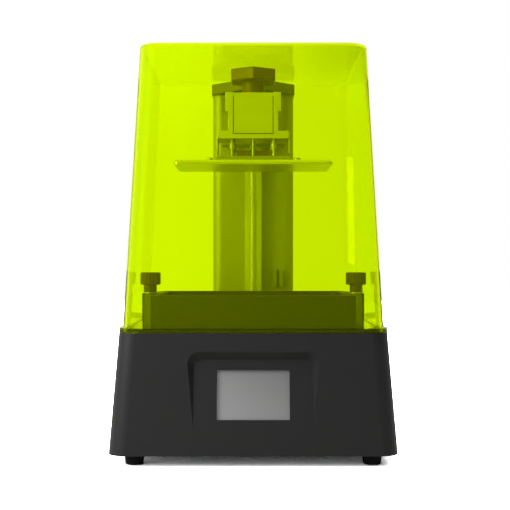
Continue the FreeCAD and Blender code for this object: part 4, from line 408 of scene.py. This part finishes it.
baseLook = {
    "case": {"colour": (28, 28, 28), "rough": 0.46, "vary": 0.04, "scale": 1400.0, "bump": 0.16,
             "specular": 0.25, "shade": 0.95},
    "floorSheet": {"colour": (26, 26, 27), "rough": 0.55},
    "foot": {"colour": (18, 18, 18), "rough": 0.8, "scale": 1600.0, "bump": 0.3, "specular": 0.2},
}
dress(finishMaterial("casePlastic", baseLook["case"]), "base_housing")
dress(finishMaterial("floorSheet", baseLook["floorSheet"]), "bottom_plate", "rear_panel")
dress(finishMaterial("footRubber", baseLook["foot"]), "foot_front_left", "foot_front_right", "foot_rear_left",
      "foot_rear_right")
print("base dressed")


# Touchscreen: grey pane with a painted sheen, its colour lighter towards its lower left corner, and a painted
# shade line round its edge

screenLook = {"dark": (120, 120, 120), "light": (146, 146, 146), "border": (6, 6, 6), "rough": 0.2,
              "turn": 35.0, "paintedSheenHalf": 0.034, "shownHalf": (0.0364, 0.0246)}


def screenMaterial(look):
    material, tree, shader = newMaterial("touchPane")
    shader.inputs["Roughness"].default_value = look["rough"]
    low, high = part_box("touch_screen")
    centre = (low + high) / 2
    turn = math.radians(look["turn"])
    slope = Vector((math.sin(turn), 0, math.cos(turn)))
    middle = slope.x * centre.x + slope.z * centre.z
    place = tree.nodes.new("ShaderNodeTexCoord").outputs["Object"]
    along = vectorNode(tree, "DOT_PRODUCT", place, slope).outputs["Value"]
    # painted sheen: the pane's colour runs from dark to light towards its lower left corner
    paintedSheen = rangeNode(tree, along, (middle - look["paintedSheenHalf"], middle + look["paintedSheenHalf"])).outputs["Result"]
    pane = colourMix(tree, paintedSheen, linear(look["light"]), linear(look["dark"]))
    # painted shade: a near-black line round the pane, standing for the shadow of the window's edge
    border = paneEdgeShade(tree, place, centre, look["shownHalf"])
    tree.links.new(colourMix(tree, border, pane, linear(look["border"])), shader.inputs["Base Color"])
    return material


def paneEdgeShade(tree, place, centre, half):
    # 1 on the painted shade line round the pane's edge, 0 on the pane: whether a point lies past the shown
    # half sizes
    away = vectorNode(tree, "SUBTRACT", place, centre).outputs[0]
    axes = tree.nodes.new("ShaderNodeSeparateXYZ")
    tree.links.new(vectorNode(tree, "ABSOLUTE", away).outputs[0], axes.inputs[0])
    wide = mathNode(tree, "GREATER_THAN", axes.outputs["X"], half[0])
    high = mathNode(tree, "GREATER_THAN", axes.outputs["Z"], half[1])
    return mathNode(tree, "MAXIMUM", wide, high)


dress(screenMaterial(screenLook), "touch_screen")
print("touchscreen dressed")


# Deck, exposure display, vat and its film

deckLook = {
    "deck": {"colour": (245, 245, 245), "rough": 0.18, "metal": 0.95, "effect": "drawnMetal", "scale": 90.0,
             "stretch": (1, 14, 14), "bump": 0.04},
    "display": {"colour": (14, 15, 18), "rough": 0.12, "vary": 0.02, "scale": 300.0, "bump": 0.0},
    "vat": {"colour": (40, 40, 40), "rough": 0.52, "specular": 0.25, "scale": 1100.0, "bump": 0.0,
            "shade": 0.95, "edge": 0.0009},
    "ring": {"colour": (190, 190, 192), "rough": 0.35, "metal": 1.0, "effect": "drawnMetal", "scale": 120.0},
    "film": {"tint": (0.97, 0.98, 0.98), "rough": 0.05, "ior": 1.3, "clear": 1.0, "lift": 0.00005},
}
filmClear = clearMaterial("filmClear", deckLook["film"])


def filmSheet(look, material):
    # the node's own sheet, its underside lifted a hair off the display so that the two share no plane
    low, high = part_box("vat_film")
    bm = nodeMesh("vat_film")
    for vert in bm.verts:
        if vert.co.z < (low.z + high.z) / 2:
            vert.co.z += look["lift"]
    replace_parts(meshPiece("filmSheet", bm, material, "base"), "vat_film")


dress(finishMaterial("deckMetal", deckLook["deck"]), "top_deck")
dress(finishMaterial("displayGlass", deckLook["display"]), "lcd_panel")
dress(finishMaterial("vatPlastic", deckLook["vat"]), "resin_vat")
dress(finishMaterial("ringSteel", deckLook["ring"]), "film_ring")
dress(filmClear, "vat_film")
filmSheet(deckLook["film"], filmClear)
print("deck and vat dressed")


# Knobs: dark brown ribbed vat knobs and the hex platform knob, with steel washers

knobLook = {
    "grip": {"colour": (80, 62, 54), "rough": 0.36, "specular": 0.25, "scale": 1500.0, "bump": 0.05,
             "edge": 0.0008},
    "hex": {"colour": (100, 76, 66), "rough": 0.4, "specular": 0.25, "scale": 1500.0, "bump": 0.05,
            "edge": 0.0008},
    "washer": {"colour": (176, 176, 178), "rough": 0.35, "metal": 1.0, "effect": "drawnMetal",
               "scale": 200.0},
}
washerSteel = finishMaterial("washerSteel", knobLook["washer"])
dress(finishMaterial("gripPlastic", knobLook["grip"]), "vat_knob_left", "vat_knob_right")
dress(finishMaterial("hexPlastic", knobLook["hex"]), "platform_knob")
dress(washerSteel, "knob_washer_left", "knob_washer_right", "platform_washer")
print("knobs dressed")


# Column, rail and carriage

liftLook = {
    "column": {"colour": (160, 160, 160), "rough": 0.54, "metal": 0.4, "effect": "drawnMetal", "scale": 110.0,
               "stretch": (12, 12, 0.6), "bump": 0.05},
    "cap": {"colour": (106, 101, 99), "rough": 0.5, "scale": 1200.0, "bump": 0.08, "edge": 0.0008},
    "rail": {"colour": (200, 201, 202), "rough": 0.48, "metal": 0.7, "effect": "drawnMetal", "scale": 140.0,
             "stretch": (10, 10, 0.5), "bump": 0.04},
    "arm": {"colour": (124, 124, 124), "rough": 0.42, "metal": 0.3, "bump": 0.05, "edge": 0.0006},
    "nut": {"colour": (186, 150, 84), "rough": 0.36, "metal": 1.0, "effect": "drawnMetal", "scale": 160.0},
    "stop": {"colour": (140, 140, 140), "rough": 0.5, "scale": 1200.0, "bump": 0.05},
}
railSteel = finishMaterial("railSteel", liftLook["rail"])
nutBrass = finishMaterial("nutBrass", liftLook["nut"])
dress(finishMaterial("columnMetal", liftLook["column"]), "column")
dress(finishMaterial("capPlastic", liftLook["cap"]), "column_cap")
dress(railSteel, "linear_rail", "rail_slider", "top_bearing", "lower_bearing", "column_screws", "lead_screw")
driveScrews("columnSocketScrews", "column_screws", hexDrive, railSteel, "base")
dress(finishMaterial("armMetal", liftLook["arm"]), "lift_arm")
dress(nutBrass, "lead_nut")
dress(finishMaterial("stopPlastic", liftLook["stop"]), "end_stop")
print("column and carriage dressed")


# Lead screw: rolled two-start thread between plain ends

threadLook = {"pitch": 0.002, "starts": 2, "crest": 0.004, "root": 0.0033, "toothTop": 2.2, "toothFall": 5.5,
              "around": 20, "perPitch": 6, "plainLong": 0.004, "plainRadius": 0.0037}


def threadRadius(look, height, turn):
    lead = look["starts"] * look["pitch"]
    share = ((height - lead * turn / (2 * math.pi)) / look["pitch"]) % 1.0
    tooth = min(1.0, max(0.0, look["toothTop"] - abs(share - 0.5) * look["toothFall"]))
    return look["root"] + (look["crest"] - look["root"]) * tooth


def threadedScrew(look, material):
    low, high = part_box("lead_screw")
    x, y = (low.x + high.x) / 2, (low.y + high.y) / 2
    rows = int((high.z - low.z) / (look["pitch"] / look["perPitch"]))
    turns = [2 * math.pi * k / look["around"] for k in range(look["around"])]
    bm = bmesh.new()
    rings = []
    for row in range(rows + 1):
        z = low.z + (high.z - low.z) * row / rows
        plain = min(z - low.z, high.z - z) < look["plainLong"]
        ring = []
        for turn in turns:
            radius = look["plainRadius"] if plain else threadRadius(look, z, turn)
            ring.append(bm.verts.new((x + radius * math.cos(turn), y + radius * math.sin(turn), z)))
        rings.append(ring)
    closedBody(bm, rings)
    obj = meshPiece("leadScrewThread", bm, material, "z_screw")
    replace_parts(obj, "lead_screw")


threadedScrew(threadLook, railSteel)
print("lead screw threaded")


# Build head and plate

headLook = {
    "block": {"colour": (198, 198, 198), "rough": 0.36, "metal": 0.7, "effect": "drawnMetal", "scale": 100.0,
              "stretch": (12, 1, 1), "bump": 0.05, "edge": 0.0006},
    "mount": {"colour": (150, 150, 150), "rough": 0.42, "metal": 0.6, "effect": "drawnMetal", "scale": 100.0,
              "stretch": (12, 1, 1), "bump": 0.05},
    "face": {"colour": (202, 202, 202), "rough": 0.34, "metal": 0.7, "effect": "drawnMetal", "scale": 110.0,
             "stretch": (1, 1, 12), "bump": 0.05},
    "plate": {"colour": (198, 198, 198), "rough": 0.35, "metal": 0.8, "scale": 1500.0, "bump": 0.04,
              "edge": 0.0005},
    "ball": {"colour": (200, 200, 202), "rough": 0.12, "metal": 1.0, "scale": 300.0, "bump": 0.02},
    "socket": {"colour": (100, 78, 68), "rough": 0.45, "specular": 0.25, "scale": 1200.0},
    "levelling": {"colour": (148, 148, 150), "rough": 0.52, "metal": 1.0, "effect": "drawnMetal",
                  "scale": 200.0},
}
dress(finishMaterial("blockMetal", headLook["block"]), "head_block")
dress(finishMaterial("mountMetal", headLook["mount"]), "platform_mount")
dress(finishMaterial("faceMetal", headLook["face"]), "head_front_plate")
dress(finishMaterial("plateMetal", headLook["plate"]), "build_plate")
dress(finishMaterial("ballChrome", headLook["ball"]), "ball_stud")
dress(finishMaterial("socketPlastic", headLook["socket"]), "ball_socket")
dress(finishMaterial("levellingSteel", headLook["levelling"]), "levelling_screws")
dress(washerSteel, "plate_screws")
driveScrews("plateSocketScrews", "plate_screws", hexDrive, washerSteel, "carriage")


# Joint line of the head's front plate: painted shade, a dark strip in the gap standing for the shadow in the
# joint, its lip lapped over the plate's edge

seamShadeLook = {"colour": (84, 80, 78), "rough": 0.7, "gap": 0.0006, "lap": 0.0005, "drop": 0.004,
            "proud": 0.00006, "deep": 0.003}


def plateSeamShade(look):
    low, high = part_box("head_front_plate")
    top = high.z - look["drop"]
    bm = bmesh.new()

    def line(out, y):
        # down one side of the plate, along its foot and up the other, so far outside its edge
        corners = ((low.x - out, top), (low.x - out, low.z - out), (high.x + out, low.z - out),
                   (high.x + out, top))
        return [bm.verts.new((x, y, z)) for x, z in corners]

    front, back = low.y - look["proud"], low.y + look["deep"]
    edges = [line(-look["lap"], front), line(look["gap"], front), line(look["gap"], back),
             line(-look["lap"], back)]
    for first, second in zip(edges, edges[1:] + edges[:1]):
        for k in range(len(first) - 1):
            bm.faces.new((first[k], first[k + 1], second[k + 1], second[k]))
    for end in (0, -1):
        bm.faces.new([edge[end] for edge in edges])
    meshPiece("plateSeamShade", bm, finishMaterial("seamShadeStrip", look), "carriage")


plateSeamShade(seamShadeLook)
print("build head dressed")


# Cover: clear yellow-green acrylic, deeper in tint at its foot

coverLook = {"tint": (0.81, 0.965, 0.0), "rough": 0.02, "ior": 1.14, "clear": 0.97, "specular": 0.5,
             "specularTint": (0.85, 1.0, 0.0), "letLight": (0.91, 0.99, 0.0), "caughtAfter": 1.5,
             "deep": (0.2, 0.23, 0.0), "deepFade": 0.0006, "footBand": 0.0048}
coverLook["deepBelow"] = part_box("uv_cover")[0].z + coverLook["footBand"]
dress(clearMaterial("coverAcrylic", coverLook), "uv_cover")
print("cover dressed")


# Back panel fittings

backLook = {
    "fan": {"colour": (28, 28, 29), "rough": 0.45, "scale": 1000.0},
    "guard": {"colour": (200, 200, 203), "rough": 0.16, "metal": 1.0, "scale": 400.0, "bump": 0.02},
    "fitting": {"colour": (22, 22, 23), "rough": 0.4, "scale": 1300.0, "bump": 0.12},
    "shell": {"colour": (186, 187, 190), "rough": 0.36, "metal": 1.0, "effect": "drawnMetal", "scale": 200.0},
    "mark": {"colour": (230, 230, 230), "rough": 0.5, "scale": 800.0, "bump": 0.05},
    "screw": {"colour": (40, 40, 41), "rough": 0.35, "metal": 0.8, "bump": 0.05},
}
screwBlack = finishMaterial("screwBlack", backLook["screw"])
dress(finishMaterial("fanPlastic", backLook["fan"]), "fan_frame", "fan_rotor")
dress(finishMaterial("guardChrome", backLook["guard"]), "fan_guard")
dress(finishMaterial("fittingPlastic", backLook["fitting"]), "power_inlet", "switch_body", "power_rocker")
dress(finishMaterial("portShell", backLook["shell"]), "usb_port")
dress(nutBrass, "inlet_pins")
dress(screwBlack, "case_screws")
driveScrews("caseCrossScrews", "case_screws", crossDrive, screwBlack, "base")


# Rocker marks: a raised bar on the lower half of the rocker and a ring on its upper half

markLook = {"barLong": 0.0044, "barWide": 0.0009, "ringRadius": 0.0023, "ringWide": 0.0008, "proud": 0.00006,
            "sunk": 0.00006, "around": 32, "flatArea": 5e-6, "flatFacing": 0.6}


def rockerMarks(look):
    data = nodes["power_rocker"].data
    low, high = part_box("power_rocker")
    across = Vector((1, 0, 0))
    bm = bmesh.new()

    def layer(outline, normal, height):
        return [bm.verts.new(p + normal * height) for p in outline]

    def halfFace(side):
        # middle and normal of the flat above or below the rocker's own middle
        flat = [f for f in data.polygons if f.normal.y > look["flatFacing"] and f.area > look["flatArea"]
                and (f.center.z - (low.z + high.z) / 2) * side > 0]
        points = [data.vertices[i].co for f in flat for i in f.vertices]
        return (Vector(map(min, *points)) + Vector(map(max, *points))) / 2, flat[0].normal.copy()

    def bar(side):
        spot, normal = halfFace(side)
        up = across.cross(normal)
        outline = [spot + across * (a * look["barWide"] / 2) + up * (b * look["barLong"] / 2)
                   for a, b in squareCorners]
        closedBody(bm, [layer(outline, normal, -look["sunk"]), layer(outline, normal, look["proud"])])

    def ring(side):
        spot, normal = halfFace(side)
        up = across.cross(normal)
        turns = [2 * math.pi * k / look["around"] for k in range(look["around"])]
        inner, outer = look["ringRadius"] - look["ringWide"], look["ringRadius"]
        rows = []
        for radius, height in ((outer, -look["sunk"]), (outer, look["proud"]), (inner, look["proud"]),
                               (inner, -look["sunk"])):
            outline = [spot + across * (radius * math.cos(t)) + up * (radius * math.sin(t)) for t in turns]
            rows.append(layer(outline, normal, height))
        for first, second in zip(rows, rows[1:] + rows[:1]):
            band(bm, first, second)

    bar(-1)
    ring(1)
    meshPiece("rockerMarks", bm, finishMaterial("markPrint", backLook["mark"]), "rocker")


rockerMarks(markLook)
print("back panel dressed")


# Inside of the base

insideLook = {
    "board": {"colour": (22, 84, 52), "rough": 0.35, "scale": 500.0, "bump": 0.08},
    "sink": {"colour": (168, 169, 171), "rough": 0.35, "metal": 1.0, "effect": "drawnMetal", "scale": 120.0,
             "stretch": (1, 10, 10)},
    "motor": {"colour": (30, 30, 31), "rough": 0.4, "metal": 0.3, "bump": 0.08},
    "hood": {"colour": (222, 222, 220), "rough": 0.5, "bump": 0.08},
    "lens": {"tint": (0.96, 0.97, 1.0), "rough": 0.03, "ior": 1.45, "clear": 1.0},
}
dress(finishMaterial("boardLaminate", insideLook["board"]), "led_board", "mainboard")
dress(finishMaterial("sinkMetal", insideLook["sink"]), "heat_sink", "motor_coupling", "power_supply",
      "motor_bracket")
dress(finishMaterial("motorPaint", insideLook["motor"]), "z_motor")
dress(finishMaterial("hoodPlastic", insideLook["hood"]), "light_hood")
dress(clearMaterial("lensClear", insideLook["lens"]), "lens_plate")
dress(nutBrass, "knob_inserts", "floor_posts")
print("inside dressed")


# Studio floor: plain to the light it throws back, white to the camera and through the cover

floorLook = {"size": 8.0, "below": 0.0003, "colour": 0.45, "shown": 5.0, "mirrored": 0.8, "through": 1.0}


def whiteFloor(look):
    half = look["size"] / 2
    bm = bmesh.new()
    bm.faces.new([bm.verts.new((sx * half, sy * half, -look["below"])) for sx, sy in squareCorners])
    data = bpy.data.meshes.new("whiteFloor")
    bm.to_mesh(data)
    bm.free()
    floor = bpy.data.objects.new("whiteFloor", data)
    bpy.context.scene.collection.objects.link(floor)
    material, tree, shader = newMaterial("floorWhite")
    tree.nodes.remove(shader)
    path = tree.nodes.new("ShaderNodeLightPath")

    def matt(grey):
        node = tree.nodes.new("ShaderNodeBsdfDiffuse")
        node.inputs["Color"].default_value = (grey, grey, grey, 1)
        return node.outputs[0]

    glow = tree.nodes.new("ShaderNodeEmission")
    glow.inputs["Strength"].default_value = look["through"]
    surface = matt(look["colour"])
    for ray, other in (("Is Camera Ray", matt(look["shown"])), ("Is Glossy Ray", matt(look["mirrored"])),
                       ("Is Transmission Ray", glow.outputs[0])):
        surface = shaderMix(tree, path.outputs[ray], surface, other)
    tree.links.new(surface, tree.nodes["Material Output"].inputs["Surface"])
    floor.data.materials.append(material)


# Studio room: light from the left and above, a pale wall behind, a dark card at the right for mirrors.
# A span is where a change begins and ends along an axis of the direction looked in, from -1 to 1.

roomLook = {
    "left": 0.95, "right": 0.1, "sideSpan": (-0.2, 0.16),
    "sideFade": 0.1, "sideFadeSpan": (0.05, 0.35),
    "top": 1.4, "topSpan": (0.3, 0.8),
    "backLeft": 1.0, "backRight": 0.84, "backSpan": (-0.15, 0.15),
    "backFacing": (-0.35, 0.94, 0.0), "backFacingSpan": (0.45, 0.75),
    "highLeft": 0.12, "highLeftRise": (0.1, 0.22), "highLeftSpan": (-0.12, 0.05),
    "highRight": -0.25, "highRightRise": (0.17, 0.205), "highRightSpan": (0.02, 0.09),
    "frontLeft": 0.95, "frontRight": 0.45, "frontSpan": (-0.2, 0.2), "frontToBack": (-0.3, 0.2),
    "card": 0.3, "cardSpan": (-0.15, 0.15),
}


def studioWorld(look):
    world = bpy.data.worlds.new("studioWorld")
    bpy.context.scene.world = world
    world.use_nodes = True
    tree = world.node_tree
    direction = tree.nodes.new("ShaderNodeTexCoord").outputs["Generated"]
    axes = tree.nodes.new("ShaderNodeSeparateXYZ")
    tree.links.new(direction, axes.inputs[0])
    x, y, z = axes.outputs

    def ramp(source, span, start, end):
        return rangeNode(tree, source, span, (start, end), "SMOOTHSTEP").outputs["Result"]

    def combine(operation, first, second):
        return mathNode(tree, operation, first, second)

    sides = combine("MULTIPLY", ramp(x, look["sideSpan"], look["left"], look["right"]),
                    ramp(y, look["sideFadeSpan"], 1.0, look["sideFade"]))
    level = combine("MAXIMUM", sides, ramp(z, look["topSpan"], 0.0, look["top"]))
    highLeft = combine("MULTIPLY", ramp(z, look["highLeftRise"], 0.0, look["highLeft"]),
                       ramp(x, look["highLeftSpan"], 1.0, 0.0))
    highRight = combine("MULTIPLY", ramp(z, look["highRightRise"], 0.0, look["highRight"]),
                        ramp(x, look["highRightSpan"], 0.0, 1.0))
    behind = combine("ADD", ramp(x, look["backSpan"], look["backLeft"], look["backRight"]),
                     combine("ADD", highLeft, highRight))
    facing = vectorNode(tree, "DOT_PRODUCT", direction, look["backFacing"]).outputs["Value"]
    wall = combine("MULTIPLY", behind, ramp(facing, look["backFacingSpan"], 0.0, 1.0))
    level = combine("MAXIMUM", level, wall)
    seen = tree.nodes.new("ShaderNodeMix")    # what the cover and mirrors show, from the front to the back
    before = ramp(x, look["frontSpan"], look["frontLeft"], look["frontRight"])
    tree.links.new(ramp(y, look["frontToBack"], 0.0, 1.0), seen.inputs[0])
    tree.links.new(before, seen.inputs[numberSockets["first"]])
    tree.links.new(behind, seen.inputs[numberSockets["second"]])
    through = seen.outputs[numberSockets["result"]]
    mirrored = combine("MULTIPLY", through, ramp(x, look["cardSpan"], 1.0, look["card"]))
    path = tree.nodes.new("ShaderNodeLightPath")
    for shown, ray in ((through, "Is Transmission Ray"), (mirrored, "Is Glossy Ray")):
        level = combine("MAXIMUM", level, combine("MULTIPLY", shown, path.outputs[ray]))
    level = combine("MAXIMUM", level, path.outputs["Is Camera Ray"])
    background = tree.nodes["Background"]
    tree.links.new(level, background.inputs["Strength"])
    background.inputs["Color"].default_value = (1, 1, 1, 1)


# Lamps: one soft key at the front left, and a tall gridded strip for the cover's front right corner alone

keyLook = {"watts": 5.5, "place": (-0.75, -0.6, 0.5), "aim": (0, 0, 0.2), "size": 0.5, "spread": 180.0}
stripLook = {"count": 6, "place": (0.309, -2.2), "low": 0.42, "high": 0.76, "wide": 0.022, "watts": 0.00012,
             "spread": 6.0, "aim": (0.1, -0.115), "aimLow": 0.23, "aimHigh": 0.33, "lit": "uv_cover"}


def areaLamp(name, place, aim, wide, high, look):
    lamp = bpy.data.lights.new(name, "AREA")
    lamp.shape = "RECTANGLE"
    lamp.size = wide
    lamp.size_y = high
    lamp.energy = look["watts"]
    lamp.spread = math.radians(look["spread"])
    obj = bpy.data.objects.new(name, lamp)
    bpy.context.scene.collection.objects.link(obj)
    obj.location = place
    obj.rotation_euler = (Vector(aim) - Vector(place)).to_track_quat("-Z", "Y").to_euler()
    obj.visible_camera = False
    if "lit" in look:
        lit = bpy.data.collections.new(name + "Only")
        lit.objects.link(nodes[look["lit"]])
        obj.light_linking.receiver_collection = lit


def stripLamps(look):
    high = (look["high"] - look["low"]) / look["count"]
    for k in range(look["count"]):
        share = (k + 0.5) / look["count"]
        place = (*look["place"], look["low"] + share * (look["high"] - look["low"]))
        aim = (*look["aim"], look["aimLow"] + share * (look["aimHigh"] - look["aimLow"]))
        areaLamp("coverStrip" + str(k), place, aim, look["wide"], high, look)


# Camera in front, level

photoView = {"sensor": 36.0, "lens": 68.47, "shift": (0.0035, 0.0137), "place": (0.0, -1.101, 0.2038)}


def photoCamera(look):
    data = bpy.data.cameras.new("photoCamera")
    data.sensor_width = look["sensor"]
    data.lens = look["lens"]
    data.shift_x, data.shift_y = look["shift"]
    obj = bpy.data.objects.new("photoCamera", data)
    obj.location = look["place"]
    obj.rotation_euler = (math.pi / 2, 0, 0)
    bpy.context.scene.collection.objects.link(obj)
    bpy.context.scene.camera = obj


whiteFloor(floorLook)
studioWorld(roomLook)
areaLamp("keyLamp", keyLook["place"], keyLook["aim"], keyLook["size"], keyLook["size"], keyLook)
stripLamps(stripLook)
photoCamera(photoView)
bpy.context.scene.view_settings.view_transform = "Standard"
print("studio set")
